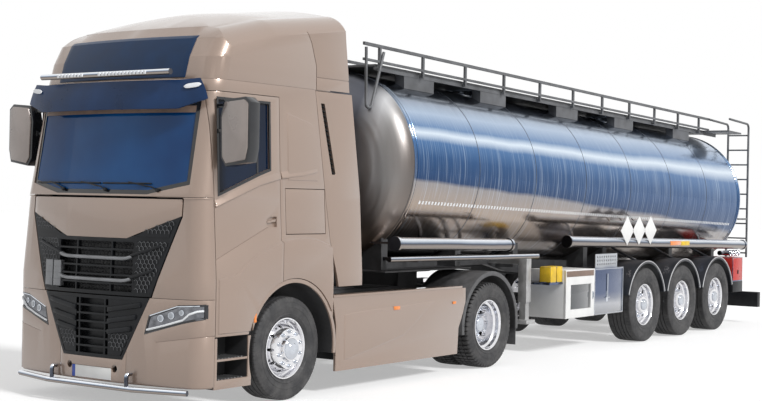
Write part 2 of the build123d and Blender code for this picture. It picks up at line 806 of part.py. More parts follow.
# Front arch liners, and the entry steps in their wells ahead of them
arch_ring = cylinder_across(ARCH_GAP_R - 5, FRONT_AXLE, AXLE_Z, 560, 1254) - tyre_cut
arch_ring = arch_ring - block((-REACH, REACH), (0, 3000), (-300, 420))
arch_ring = arch_ring - block((-REACH, REACH), (0, 860), (0, 900))
step_box = block((900, 1248), (BUMPER_REAR + GAP, 850), (215, CAB_SKIRT - GAP))
step_box = step_box - block((960, 1300), (372, 800), (300, CAB_SKIRT + 10))
step_box = step_box + block((960, 1240), (372, 800), (468, 490))
step_box = step_box - cylinder_across(ARCH_R + 5, FRONT_AXLE, AXLE_Z)
with BuildPart() as front_mudguards:
    for solid in (*both_sides(arch_ring), *both_sides(step_box)):
        add(solid)
keep(front_mudguards, "front_mudguards")

# Rear wheel guards: a band round the twin tyres that ends in a flap behind
GUARD_R = (615, 640)
under_guard = block((-REACH, REACH), (0, 9000), (-300, 430))
guard_ring = cylinder_across(GUARD_R[1], DRIVE_AXLE, AXLE_Z, 560, 1240)
guard_ring = guard_ring - cylinder_across(GUARD_R[0], DRIVE_AXLE, AXLE_Z) - under_guard
guard_lip = cylinder_across(GUARD_R[1], DRIVE_AXLE, AXLE_Z, 1222, 1240)
guard_lip = guard_lip - cylinder_across(588, DRIVE_AXLE, AXLE_Z) - under_guard
flap_station = DRIVE_AXLE + GUARD_R[0]
flap = block((600, 1222), (flap_station, flap_station + 12), (230, 460))
with BuildPart() as rear_mudguards:
    for solid in (*both_sides(guard_ring), *both_sides(guard_lip), *both_sides(flap)):
        add(solid)
keep(rear_mudguards, "rear_mudguards")

# Fuel tanks and side skirts between the axles
with BuildPart() as fuel_tanks:
    for solid in outside((520, 1150), (2250, 4150), (330, 900)):
        add(solid)
keep(fuel_tanks, "fuel_tanks")
SKIRT = ((2170, 225), (2170, 700), (2108, 975), (4640, 975), (4640, 780), (4500, 520), (4480, 225))
SKIRT_PANEL = ((2300, 320), (2450, 335), (3400, 505), (4000, 860), (2450, 815), (2300, 800))
skirt = side_prism(SKIRT, 1210, 1240)
skirt_panel = prism(side_plane(1234), SKIRT_PANEL, 14, taper=50)
sill = block((1110, 1246), (2118, 4560), (975, 1000))
wheel_room = cylinder_across(GUARD_R[1] + 10, DRIVE_AXLE, AXLE_Z)
with BuildPart() as side_skirts:
    for solid in (*both_sides(skirt), *both_sides(skirt_panel), *both_sides(sill)):
        add(solid)
    add(wheel_room, mode=Mode.SUBTRACT)
keep(side_skirts, "side_skirts")


# Tank: shell with dished ends on an axis that falls towards the rear
def tank_axis_z(station):
    return TANK_FRONT_Z + (station - TANK_FRONT) * (TANK_REAR_Z - TANK_FRONT_Z) / (TANK_REAR - TANK_FRONT)


fall = Vector(0, TANK_REAR - TANK_FRONT, TANK_REAR_Z - TANK_FRONT_Z)
tank_plane = Plane(origin=at(0, TANK_FRONT, TANK_FRONT_Z), x_dir=fall, z_dir=Vector(1, 0, 0))
SHELL = fall.length
crown_centre = sqrt((CROWN_R - KNUCKLE_R) ** 2 - (TANK_R - KNUCKLE_R) ** 2)
DISH = CROWN_R - crown_centre
turn = atan2(TANK_R - KNUCKLE_R, crown_centre)
crown_end = (crown_centre - CROWN_R * cos(turn), CROWN_R * sin(turn))
crown_mid = (crown_centre - CROWN_R * cos(turn / 2), CROWN_R * sin(turn / 2))
lean = (radians(90) + turn) / 2
knuckle_mid = (-KNUCKLE_R * cos(lean), TANK_R - KNUCKLE_R + KNUCKLE_R * sin(lean))
# Ring beads where the dishes meet the shell: distance along it
BEADS = (0, 60, SHELL - 60, SHELL)
BEAD_HALF = 13
BEAD_RISE = 9
MANHOLES = (("front", 6500), ("rear", 10500))
MANHOLE_X = -50
OUTLET_Z = 900
OUTLET_R = 57
outlet = (
    upright(OUTLET_R, 0, 13350, OUTLET_Z, 1100),
    hole_along(OUTLET_R, 0, OUTLET_Z, 13350, 13640),
    hole_along(110, 0, OUTLET_Z, 13620, 13640),
)
outlet_bore = hole_along(50, 0, OUTLET_Z, 13300, 13700)
necks = [
    upright(215, MANHOLE_X, station, tank_axis_z(station) + TANK_R - 60, tank_axis_z(station) + TANK_R + 40)
    for _, station in MANHOLES
]
with BuildPart() as tank:
    with BuildSketch(tank_plane):
        with BuildLine():
            ThreePointArc((-DISH, 0), crown_mid, crown_end)
            ThreePointArc(crown_end, knuckle_mid, (0, TANK_R))
            Line((0, TANK_R), (SHELL, TANK_R))
            ThreePointArc(
                (SHELL, TANK_R),
                (SHELL - knuckle_mid[0], knuckle_mid[1]),
                (SHELL - crown_end[0], crown_end[1]),
            )
            ThreePointArc(
                (SHELL - crown_end[0], crown_end[1]),
                (SHELL - crown_mid[0], crown_mid[1]),
                (SHELL + DISH, 0),
            )
            Line((SHELL + DISH, 0), (-DISH, 0))
        make_face()
        for along in BEADS:
            with BuildLine():
                Line((along - BEAD_HALF, TANK_R - 20), (along - BEAD_HALF, TANK_R))
                crest = (along, TANK_R + BEAD_RISE)
                ThreePointArc((along - BEAD_HALF, TANK_R), crest, (along + BEAD_HALF, TANK_R))
                Line((along + BEAD_HALF, TANK_R), (along + BEAD_HALF, TANK_R - 20))
                Line((along + BEAD_HALF, TANK_R - 20), (along - BEAD_HALF, TANK_R - 20))
            make_face()
    revolve(axis=Axis(tank_plane.origin, tank_plane.x_dir))
    for solid in (*outlet, *necks):
        add(solid)
    add(outlet_bore, mode=Mode.SUBTRACT)
    with Locations(cross_plane(13640)):
        with Locations((0, OUTLET_Z)):
            with PolarLocations(90, 8):
                Hole(9, depth=30)
keep(tank, "tank")

# Trailer frame: rails under the tank, the coupling plate and kingpin, and saddles
FRAME_SIDE = (
    (3500, PLATE_Z),
    (6400, PLATE_Z),
    (6900, 1060),
    (9000, 900),
    (13700, 760),
    (13700, 1000),
    (3500, 1330),
)
SADDLES = ((3700, 1170), (5250, 1170), (6640, 1130), (8600, 930), (9200, 930), (11500, 930), (13200, 930))
with BuildPart() as trailer_frame:
    for solid in both_sides(side_prism(FRAME_SIDE, RAIL_X - 40, RAIL_X + 40)):
        add(solid)
    add(block((-900, 900), (3500, 5300), (PLATE_Z, PLATE_Z + 15)))
    add(upright(25.4, 0, KINGPIN, PLATE_Z - 84, PLATE_Z + 10))
    for station, foot in SADDLES:
        add(block((-700, 700), (station, station + 120), (foot, tank_axis_z(station) - 700)))
    add(tank.part, mode=Mode.SUBTRACT)
keep(trailer_frame, "trailer_frame")


# Walkway along the top: deck on boxes, two-bar handrails, and a landing with a ladder at the back
def deck_z(station):
    return tank_axis_z(station) + TANK_R + 40


def sloped(start, end, low, high, x):
    """A bar along the tank's top, its lower and upper faces given by their rise over the deck."""
    corners = (
        (start, deck_z(start) + low),
        (end, deck_z(end) + low),
        (end, deck_z(end) + high),
        (start, deck_z(start) + high),
    )
    return side_prism(corners, *x)


WALK = (3720, 13650)
WALK_X = 560
RAILS_X = 600
RAIL_START = 3430
RAIL_END = 13230
NEAR_POSTS = (3720, 4600, 5540, 6480, 7430, 8380, 9280, 10180, 11070, 11960, 12800)
FAR_POSTS = (3720, 5200, 7160, 9350, 11380, 13180)
WALK_BOXES = (4300, 6000, 8000, 9800, 11900)
BOX_LENGTH = 630
LADDER_X = (620, 980)
LADDER_REAR = 14056
walk_solids = [
    sloped(*WALK, 0, 26, (-WALK_X, WALK_X)),
    sloped(13100, WALK[1], 0, 26, (WALK_X - 10, 1010)),
    *both_sides(sloped(*WALK, -46, 14, (WALK_X - 12, WALK_X))),
    *[sloped(start, start + BOX_LENGTH, -190, 2, (430, WALK_X - 6)) for start in WALK_BOXES],
    *[sloped(start, start + BOX_LENGTH, -190, 2, (6 - WALK_X, -430)) for start in WALK_BOXES],
]
for hand, stations in ((1, NEAR_POSTS), (-1, FAR_POSTS)):
    inner, outer = sorted((hand * (RAILS_X - 14), hand * (RAILS_X + 14)))
    foot_x = sorted((hand * (WALK_X - 30), hand * (RAILS_X + 14)))
    for low, high in ((205, 240), (35, 62)):
        walk_solids.append(sloped(RAIL_START, RAIL_END, low, high, (inner, outer)))
    for station in stations:
        walk_solids.append(sloped(station, station + 36, -40, 230, (inner, outer)))
        walk_solids.append(sloped(station, station + 36, -40, -10, foot_x))
FRONT_HANDLE = ((620, 3450, 3670), (620, 3465, 3000), (620, 3560, 3000), (620, 3790, 3640))
walk_solids.append(pipe(FRONT_HANDLE, 17, 44))
for x in LADDER_X:
    walk_solids.append(pipe(((x, 13200, 3405), (x, LADDER_REAR, 3360), (x, LADDER_REAR, 1100)), 18, 80))
for x in LADDER_X:
    walk_solids.append(pipe(((x, 13650, 1750), (x, LADDER_REAR, 1750)), 14))
RUNG_Y = (LADDER_REAR - 14, LADDER_REAR + 14)
for step in range(9):
    walk_solids.append(block(LADDER_X, RUNG_Y, (1160 + 250 * step, 1184 + 250 * step)))
manhole_room = [
    block((MANHOLE_X - 340, MANHOLE_X + 270), (station - 270, station + 270), (3000, 4200))
    for _, station in MANHOLES
]
with BuildPart() as walkway:
    for solid in walk_solids:
        add(solid)
    add(tank.part, mode=Mode.SUBTRACT)
    for solid in manhole_room:
        add(solid, mode=Mode.SUBTRACT)
keep(walkway, "walkway")

# Manlids on their necks: a disc with a raised middle, a hinge barrel and a swing bolt
HINGE_X = MANHOLE_X - 250
for name, station in MANHOLES:
    top = tank_axis_z(station) + TANK_R
    lid_parts = (
        upright(240, MANHOLE_X, station, top + 45, top + 72),
        upright(170, MANHOLE_X, station, top + 60, top + 96),
        block((HINGE_X, MANHOLE_X - 200), (station - 50, station + 50), (top + 48, top + 68)),
        hole_along(16, HINGE_X, top + 60, station - 70, station + 70),
        block((MANHOLE_X + 200, MANHOLE_X + 262), (station - 18, station + 18), (top + 50, top + 100)),
    )
    with BuildPart() as manlid:
        for solid in lid_parts:
            add(solid)
    keep(manlid, f"manlid_{name}")

# Hose tubes along both sides, each with end caps, and the rail under the front ones
HOSE_RUNS = (((3290, 1500), (5750, 1450)), ((7230, 1470), (13400, 1330)))
hose_solids = []
for (start, start_z), (end, end_z) in HOSE_RUNS:
    slope = (end_z - start_z) / (end - start)
    hose_solids += both_sides(pipe(((1165, start, start_z), (1165, end, end_z)), 72))
    for station, step in ((start, 40), (end, -40)):
        z = start_z + (station - start) * slope
        cap = ((1165, station, z), (1165, station + step, z + step * slope))
        hose_solids += both_sides(pipe(cap, 82))
    for share in (0.15, 0.5, 0.85):
        station = start + (end - start) * share
        z = start_z + (station - start) * slope
        hose_solids += outside((560, 1110), (station - 20, station + 20), (z - 12, z + 12))
hose_solids += both_sides(pipe(((1195, 3150, 1335), (1195, 6400, 1300)), 30))
for station in (3700, 5260):
    hose_solids += outside((705, 1180), (station + 30, station + 90), (1290, 1330))
with BuildPart() as hose_tubes:
    for solid in hose_solids:
        add(solid)
    for cut in (tank.part, trailer_frame.part):
        add(cut, mode=Mode.SUBTRACT)
keep(hose_tubes, "hose_tubes")

# Landing legs with their feet and cross tube
LEG = (6440, 6560)
leg_solids = [
    *outside((900, 1020), LEG, (700, 1280)),
    *outside((915, 1005), (LEG[0] + 15, LEG[1] - 15), (470, 720)),
    *outside((860, 1060), (LEG[0] - 50, LEG[1] + 50), (430, 480)),
    block((-1000, 1000), (6460, 6540), (1180, 1250)),
]
with BuildPart() as landing_legs:
    for solid in leg_solids:
        add(solid)
    for cut in (tank.part, trailer_frame.part):
        add(cut, mode=Mode.SUBTRACT)
keep(landing_legs, "landing_legs")

# Cabinet with its door, whose window shows the fittings, and the boxes beside and behind it
with BuildPart() as cabinet:
    add(block((700, 1215), (7080, 7900), (470, 1100)))
    add(block((730, 1300), (7110, 7870), (500, 1070)), mode=Mode.SUBTRACT)
keep(cabinet, "cabinet")
CABINET_WINDOW = ((7225, 580), (7225, 905), (7800, 905), (7800, 580))
cabinet_window = side_prism(CABINET_WINDOW, 1228, 1300)
with BuildPart() as cabinet_door:
    add(block((1218, 1240), (7080, 7900), (470, 1100)))
    add(cabinet_window, mode=Mode.SUBTRACT)
    add(upright(7, 1243, 7084, 480, 1090))
keep(cabinet_door, "cabinet_door")
guard_plate = block((1205, 1215), (7960, 8620), (1090, 1290))
with BuildPart() as side_boxes:
    add(block((700, 1230), (7910, 8790), (470, 1100)))
    add(guard_plate)
    add(block((760, 1225), (12850, 13260), (570, 1130)))
    for station in (6740, 6910):
        add(block((1040, 1200), (station, station + 150), (945, 1150)))
    add(block((700, 1200), (6720, 7074), (920, 945)))
    with BuildSketch(side_plane(1200)):
        with Locations((8290, 1200)):
            with GridLocations(66, 50, 9, 3):
                Circle(13)
    extrude(amount=30, mode=Mode.SUBTRACT)
keep(side_boxes, "side_boxes")

# Trailer axles on trailing arms
with BuildPart() as trailer_axles:
    for station in BOGIE:
        add(cylinder_across(70, station, TRAILER_AXLE_Z, -800, 800))
        add(cylinder_across(SPINDLE_R, station, TRAILER_AXLE_Z, -1130, 1130))
        for solid in outside((355, 445), (station - 520, station + 380), (600, 660)):
            add(solid)
        for solid in outside((355, 445), (station - 520, station - 400), (660, 900)):
            add(solid)
    add(trailer_frame.part, mode=Mode.SUBTRACT)
keep(trailer_axles, "trailer_axles")

# Trailer wheel guards with a lip, on struts from the tank
TRAILER_GUARD_R = (618, 636)
guard_solids = []
for station in BOGIE:
    room = cylinder_across(TRAILER_GUARD_R[0], station, TRAILER_AXLE_Z)
    below = block((-REACH, REACH), (station - 700, station + 700), (-300, 690))
    guard = cylinder_across(TRAILER_GUARD_R[1], station, TRAILER_AXLE_Z, 820, 1235) - room - below
    lip_room = cylinder_across(TRAILER_GUARD_R[0] - 24, station, TRAILER_AXLE_Z)
    lip = cylinder_across(TRAILER_GUARD_R[1], station, TRAILER_AXLE_Z, 1219, 1235) - lip_room - below
    strut = pipe(((1060, station, 1150), (600, station, 1360)), 18)
    guard_solids += [*both_sides(guard), *both_sides(lip), *both_sides(strut - room)]
with BuildPart() as trailer_mudguards:
    for solid in guard_solids:
        add(solid)
    for cut in (tank.part, trailer_frame.part):
        add(cut, mode=Mode.SUBTRACT)
keep(trailer_mudguards, "trailer_mudguards")

# Rear bumper on its brackets, with a lamp housing at each end
BRACKET_X = (360, 440)
bumper_solids = [
    block((-1230, 1230), (13960, 14080), (270, 520)),
    *outside((820, 1210), (14075, REAR_END), (330, 460)),
    *outside(BRACKET_X, (13500, 13960), (440, 520)),
    *outside(BRACKET_X, (13500, 13600), (520, 761)),
]
with BuildPart() as rear_bumper:
    for solid in bumper_solids:
        add(solid)
    add(trailer_frame.part, mode=Mode.SUBTRACT)
keep(rear_bumper, "rear_bumper")
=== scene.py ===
from math import atan2, cos, pi, radians, sin, sqrt, tau

import bmesh
import bpy
from mathutils import Matrix, Vector


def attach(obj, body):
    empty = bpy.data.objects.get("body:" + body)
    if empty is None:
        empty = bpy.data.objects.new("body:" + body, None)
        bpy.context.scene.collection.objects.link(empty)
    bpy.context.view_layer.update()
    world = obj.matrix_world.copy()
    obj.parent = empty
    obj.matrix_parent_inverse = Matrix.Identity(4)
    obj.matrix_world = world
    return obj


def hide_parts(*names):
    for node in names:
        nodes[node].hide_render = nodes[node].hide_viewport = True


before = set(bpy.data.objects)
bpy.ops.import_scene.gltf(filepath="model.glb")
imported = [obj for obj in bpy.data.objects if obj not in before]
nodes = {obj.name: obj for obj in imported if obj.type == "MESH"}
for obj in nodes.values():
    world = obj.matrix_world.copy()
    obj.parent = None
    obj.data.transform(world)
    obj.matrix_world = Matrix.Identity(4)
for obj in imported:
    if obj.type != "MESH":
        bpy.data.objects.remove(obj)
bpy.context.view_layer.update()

# Metres. +X is the vehicle's left and -Y its nose. A station is a distance back from the bumper's face.
NOSE = -7.0215
SIDES = (("left", 1), ("right", -1))
HANDS = (1, -1)
FRONT_AXLE = 1.467
DRIVE_AXLE = 5.216
BOGIE = (9.577, 10.887, 12.197)
TYRE_R = 0.507
WIDE_TYRE_R = 0.530
TANK_R = 1.080
TANK_FRONT = 3.790
TANK_REAR = 13.430
TANK_FRONT_Z = 2.357
TANK_REAR_Z = 2.058
TANK_LEAN = (TANK_REAR_Z - TANK_FRONT_Z) / (TANK_REAR - TANK_FRONT)

# The camera stands where the photograph's stood
CAMERA_PLACE = (9.962, -16.4025, 1.996)
CAMERA_YAW = 0.617
CAMERA_PITCH = -0.002
CAMERA_ROLL = 0.019
CAMERA_LENS = 67.45
SENSOR_WIDTH = 36
CLIP_END = 300


def at(x, station, z):
    return Vector((x, NOSE + station, z))


def axis_z(station):
    return TANK_FRONT_Z + (station - TANK_FRONT) * TANK_LEAN


def new_piece(name, data):
    piece = bpy.data.objects.new(name, data)
    bpy.context.scene.collection.objects.link(piece)
    return piece


def make_camera():
    flat = cos(CAMERA_PITCH)
    level = Vector((cos(CAMERA_YAW), sin(CAMERA_YAW), 0))
    ahead = Vector((-sin(CAMERA_YAW) * flat, cos(CAMERA_YAW) * flat, sin(CAMERA_PITCH)))
    above = level.cross(ahead)
    right = cos(CAMERA_ROLL) * level + sin(CAMERA_ROLL) * above
    up = cos(CAMERA_ROLL) * above - sin(CAMERA_ROLL) * level
    camera = new_piece("camera", bpy.data.cameras.new("camera"))
    camera.data.sensor_width = SENSOR_WIDTH
    camera.data.lens = CAMERA_LENS
    camera.data.clip_end = CLIP_END
    turn = Matrix((right, up, -ahead)).transposed().to_4x4()
    camera.matrix_world = Matrix.Translation(CAMERA_PLACE) @ turn
    bpy.context.scene.camera = camera


make_camera()


class Shader:
    """One principled material with its node tree, and short ways to add what varies over its surface."""

    def __init__(self, name, colour, roughness, metallic=0.0, **sockets):
        self.made = bpy.data.materials.new(name)
        self.made.use_nodes = True
        self.tree = self.made.node_tree
        self.surface = self.tree.nodes["Principled BSDF"]
        self.set("Base Color", (*colour, 1))
        self.set("Roughness", roughness)
        self.set("Metallic", metallic)
        for socket, value in sockets.items():
            self.set(socket.replace("_", " "), value)

    def set(self, socket, value):
        self.surface.inputs[socket].default_value = value

    def put(self, socket, value):
        if isinstance(value, bpy.types.NodeSocket):
            self.tree.links.new(value, socket)
        else:
            socket.default_value = value

    def node(self, kind, **inputs):
        made = self.tree.nodes.new(kind)
        for key, value in inputs.items():
            self.put(made.inputs[key.replace("_", " ")], value)
        return made

    def place(self, scale=(1, 1, 1)):
        where = self.node("ShaderNodeTexCoord").outputs["Object"]
        mapping = self.node("ShaderNodeMapping", Vector=where, Scale=scale)
        return mapping.outputs["Vector"]

    def split(self, vector):
        return self.node("ShaderNodeSeparateXYZ", Vector=vector).outputs

    def noise(self, scale, detail=3.0, stretch=(1, 1, 1)):
        made = self.node("ShaderNodeTexNoise", Vector=self.place(stretch), Scale=scale, Detail=detail)
        return made.outputs["Fac"]

    def math(self, operation, *values):
        made = self.tree.nodes.new("ShaderNodeMath")
        made.operation = operation
        for socket, value in zip(made.inputs, values):
            self.put(socket, value)
        return made.outputs[0]

    def between(self, value, low, high, to_low=0.0, to_high=1.0):
        made = self.node("ShaderNodeMapRange", Value=value)
        for key, number in (("From Min", low), ("From Max", high), ("To Min", to_low), ("To Max", to_high)):
            made.inputs[key].default_value = number
        return made.outputs["Result"]

    def drift(self, reach, *noise):
        """A noise that runs between -reach and reach."""
        return self.between(self.noise(*noise), 0, 1, -reach, reach)

    def ramp(self, value, stops):
        made = self.node("ShaderNodeValToRGB", Fac=value)
        band = made.color_ramp
        while len(band.elements) < len(stops):
            band.elements.new(0.5)
        for element, (place, colour) in zip(band.elements, stops):
            element.position = place
            element.color = (*colour, 1)
        return made.outputs["Color"]

    def mix(self, share, first, second):
        made = self.tree.nodes.new("ShaderNodeMix")
        made.data_type = "RGBA"
        self.put(made.inputs["Factor"], share)
        for key, colour in (("A", first), ("B", second)):
            self.put(made.inputs[key], colour if isinstance(colour, bpy.types.NodeSocket) else (*colour, 1))
        return made.outputs["Result"]

    def paint(self, colour):
        self.put(self.surface.inputs["Base Color"], colour)

    def gloss(self, value):
        self.put(self.surface.inputs["Roughness"], value)

    def patchy(self, low, high, scale=9, detail=4):
        """A roughness that a noise moves between two values."""
        self.gloss(self.between(self.noise(scale, detail), 0.3, 0.7, low, high))

    def bump(self, height, strength, distance=0.001):
        made = self.node("ShaderNodeBump", Height=height, Strength=strength, Distance=distance)
        self.put(self.surface.inputs["Normal"], made.outputs["Normal"])


def worn(name, colour, roughness, metallic=0.0, spread=0.25, scale=6.0, grain=700.0, lift=0.15, **sockets):
    """A finish whose colour and gloss drift with a broad noise, over a fine grain."""
    made = Shader(name, colour, roughness, metallic, **sockets)
    broad = made.noise(scale, 5)
    darker = [value * (1 - spread) for value in colour]
    lighter = [min(1, value * (1 + spread)) for value in colour]
    made.paint(made.mix(made.between(broad, 0.3, 0.7), darker, lighter))
    made.gloss(made.between(broad, 0.25, 0.75, max(0.02, roughness - 0.07), min(1, roughness + 0.08)))
    made.bump(made.noise(grain, 2), lift)
    return made


# Inside this distance from the middle, the arch and step mouldings are bare black plastic
PAINTED_X = 1.236
PAINT_GLOSS = 0.36
PAINT_METAL = 0.3
BARE_GLOSS = 0.62


def body_paint(name="body_paint", painted_x=None):
    made = Shader(name, (0.308, 0.226, 0.180), PAINT_GLOSS, PAINT_METAL, Coat_Weight=1.0, Coat_Roughness=0.05)
    flakes = made.node("ShaderNodeTexVoronoi", Vector=made.place(), Scale=900.0)
    glint = made.between(made.noise(1400, 2), 0.35, 0.65)
    colour = made.mix(glint, (0.273, 0.198, 0.156), (0.343, 0.253, 0.203))
    made.bump(flakes.outputs["Distance"], 0.035, 0.0004)
    if painted_x:
        across = made.math("ABSOLUTE", made.split(made.place())["X"])
        share = made.between(across, painted_x - 0.001, painted_x + 0.001)
        grain = made.mix(made.noise(30, 4), (0.012, 0.012, 0.013), (0.030, 0.030, 0.032))
        colour = made.mix(share, grain, colour)
        made.put(made.surface.inputs["Metallic"], made.math("MULTIPLY", share, PAINT_METAL))
        made.put(made.surface.inputs["Coat Weight"], share)
        made.gloss(made.between(share, 0, 1, BARE_GLOSS, PAINT_GLOSS))
    made.paint(colour)
    return made


# The front dish's seam, and shares of the tank's height from its bottom with the colours there: a painted
# reflection of ground below and sky above, with a painted highlight band
DISH_SEAM = 3.777
TANK_REFLECTION_BANDS = (
    (0.00, (0.10, 0.09, 0.09)),
    (0.13, (0.14, 0.12, 0.11)),
    (0.24, (0.27, 0.215, 0.18)),
    (0.31, (0.42, 0.34, 0.28)),
    (0.38, (0.38, 0.33, 0.30)),
    (0.425, (0.33, 0.31, 0.31)),
    (0.445, (0.022, 0.058, 0.150)),
    (0.56, (0.030, 0.095, 0.240)),
    (0.64, (0.080, 0.190, 0.400)),
    (0.685, (0.78, 0.88, 0.98)),
    (0.72, (0.150, 0.270, 0.480)),
    (0.79, (0.430, 0.540, 0.700)),
    (0.88, (0.215, 0.250, 0.310)),
    (1.00, (0.150, 0.160, 0.180)),
)
# Towards the rear the bands spread about this share of the height
BAND_PIVOT = 0.66
REAR_BAND_SPREAD = 0.55
# Pale streaks over the painted sky reflection, and the painted reflection of the ground low on the dish
STREAK = (0.62, 0.72, 0.84)
DISH_GROUND_REFLECTION = (0.22, 0.165, 0.130)
# Shares of the tank's radius from the middle of its front dish, with the colours there: painted shade in the
# middle, a painted highlight ring, and darker at the rim
DISH_LIGHT_BANDS = (
    (0.00, (0.115, 0.115, 0.125)),
    (0.45, (0.105, 0.110, 0.130)),
    (0.68, (0.520, 0.520, 0.530)),
    (0.80, (0.300, 0.290, 0.285)),
    (1.00, (0.150, 0.130, 0.120)),
)
# Shares from a face that looks down to one that looks up, with the colours of a painted reflection that polished
# metal shows there
PAINTED_REFLECTION_BANDS = (
    (0.00, (0.10, 0.09, 0.085)),
    (0.30, (0.32, 0.28, 0.25)),
    (0.44, (0.22, 0.20, 0.20)),
    (0.50, (0.05, 0.055, 0.07)),
    (0.58, (0.20, 0.24, 0.31)),
    (0.74, (0.62, 0.67, 0.74)),
    (0.86, (0.90, 0.92, 0.95)),
    (1.00, (0.62, 0.66, 0.72)),
)
# Shares of the side box's height, with the colours of a painted reflection there
BOX_HEIGHTS = (0.4, 1.3)
BOX_REFLECTION_BANDS = (
    (0.00, (0.30, 0.30, 0.31)),
    (0.24, (0.50, 0.51, 0.54)),
    (0.32, (0.24, 0.26, 0.32)),
    (0.40, (0.13, 0.16, 0.25)),
    (0.74, (0.11, 0.14, 0.23)),
    (0.80, (0.45, 0.47, 0.50)),
    (1.00, (0.50, 0.52, 0.55)),
)


def tank_steel(polish=0.1):
    """Polished steel: fine marks run round the tank, and its bands are a painted reflection of sky above and
    ground below, with a painted highlight band.
    """
    made = Shader("tank_steel", (0.6, 0.62, 0.65), polish, 1.0)
    x, y, z = made.split(made.place())
    middle = made.math("MULTIPLY_ADD", y, -TANK_LEAN, TANK_LEAN * (NOSE + TANK_FRONT) - TANK_FRONT_Z)
    height = made.math("ADD", z, middle)
    sway = made.drift(0.05, 0.5, 4, (0.4, 1.2, 0.4))
    share = made.between(made.math("ADD", height, sway), -TANK_R, TANK_R)
    spread = made.between(y, NOSE + TANK_FRONT, NOSE + TANK_REAR, 1.0, REAR_BAND_SPREAD)
    offset = made.math("MULTIPLY", made.math("SUBTRACT", share, BAND_PIVOT), spread)
    # Painted reflection: ground below, sky above and a painted highlight band, spread towards the rear
    sky = made.ramp(made.math("ADD", offset, BAND_PIVOT), TANK_REFLECTION_BANDS)
    runs = made.between(made.noise(3.0, 6, (0.35, 14, 0.35)), 0.52, 0.74)
    streaked = made.mix(made.math("MULTIPLY", runs, 0.42), sky, STREAK)
    across = made.math("DIVIDE", made.math("ABSOLUTE", x), TANK_R)
    # The front dish: painted shade, a painted highlight ring, and the painted reflection of the ground low down
    rings = made.ramp(made.math("ADD", across, made.drift(0.05, 1.2, 5)), DISH_LIGHT_BANDS)
    painted_dish_light = made.mix(made.between(share, 0.12, 0.42, 1, 0), rings, DISH_GROUND_REFLECTION)
    dished = made.between(y, NOSE + DISH_SEAM - 0.004, NOSE + DISH_SEAM + 0.004, 1, 0)
    made.paint(made.mix(dished, streaked, painted_dish_light))
    marks = made.between(made.noise(4.0, 5, (0.3, 9, 0.3)), 0.3, 0.8, polish, polish + 0.16)
    made.gloss(made.math("ADD", marks, made.math("MULTIPLY", dished, 0.22)))
    made.bump(made.noise(60.0, 3, (0.05, 4, 0.05)), 0.05, 0.0006)
    return made


def tyre_rubber():
    made = Shader("tyre_rubber", (0.05, 0.05, 0.053), 0.7)
    dust = made.between(made.noise(7, 6), 0.35, 0.7)
    made.paint(made.mix(dust, (0.026, 0.026, 0.028), (0.066, 0.064, 0.064)))
    made.patchy(0.55, 0.8, 30, 3)
    made.bump(made.noise(420, 3), 0.25, 0.0008)
    return made


def tinted_glass(name, deep, bright):
    made = Shader(name, deep, 0.03, 0.0, Transmission_Weight=0.30, IOR=1.45, Specular_IOR_Level=0.15)
    made.paint(made.mix(made.between(made.noise(0.9, 3), 0.3, 0.7), deep, bright))
    return made


def polished_box():
    """Polished sheet with a painted reflection: a dim sky above its fold and pale ground below."""
    made = Shader("box_steel", (0.4, 0.43, 0.48), 0.16, 1.0)
    height = made.math("ADD", made.split(made.place())["Z"], made.drift(0.04, 2.0, 3))
    # Painted reflection by height
    made.paint(made.ramp(made.between(height, *BOX_HEIGHTS), BOX_REFLECTION_BANDS))
    made.patchy(0.12, 0.24)
    made.bump(made.noise(40, 4, (1, 0.05, 1)), 0.05, 0.0005)
    return made


def banded(name, roughness, scale, drift=0.06):
    """Polished metal with a painted reflection by facing: a pale sky above, a dark skyline and the ground below.
    """
    made = Shader(name, (0.5, 0.52, 0.55), roughness, 1.0)
    facing = made.split(made.node("ShaderNodeTexCoord").outputs["Normal"])["Z"]
    share = made.math("ADD", made.between(facing, -1, 1), made.drift(drift, scale, 4))
    # Painted reflection, chosen by which way each face looks
    made.paint(made.ramp(share, PAINTED_REFLECTION_BANDS))
    made.patchy(roughness, roughness + 0.08)
    made.bump(made.noise(240, 2), 0.03, 0.0004)
    return made


def brushed(name, colour, roughness):
    made = Shader(name, colour, roughness, 1.0)
    lines = made.noise(40, 5)
    made.paint(made.mix(lines, [value * 0.82 for value in colour], [min(1, value * 1.1) for value in colour]))
    made.patchy(roughness - 0.03, roughness + 0.1)
    made.bump(lines, 0.06, 0.0005)
    return made


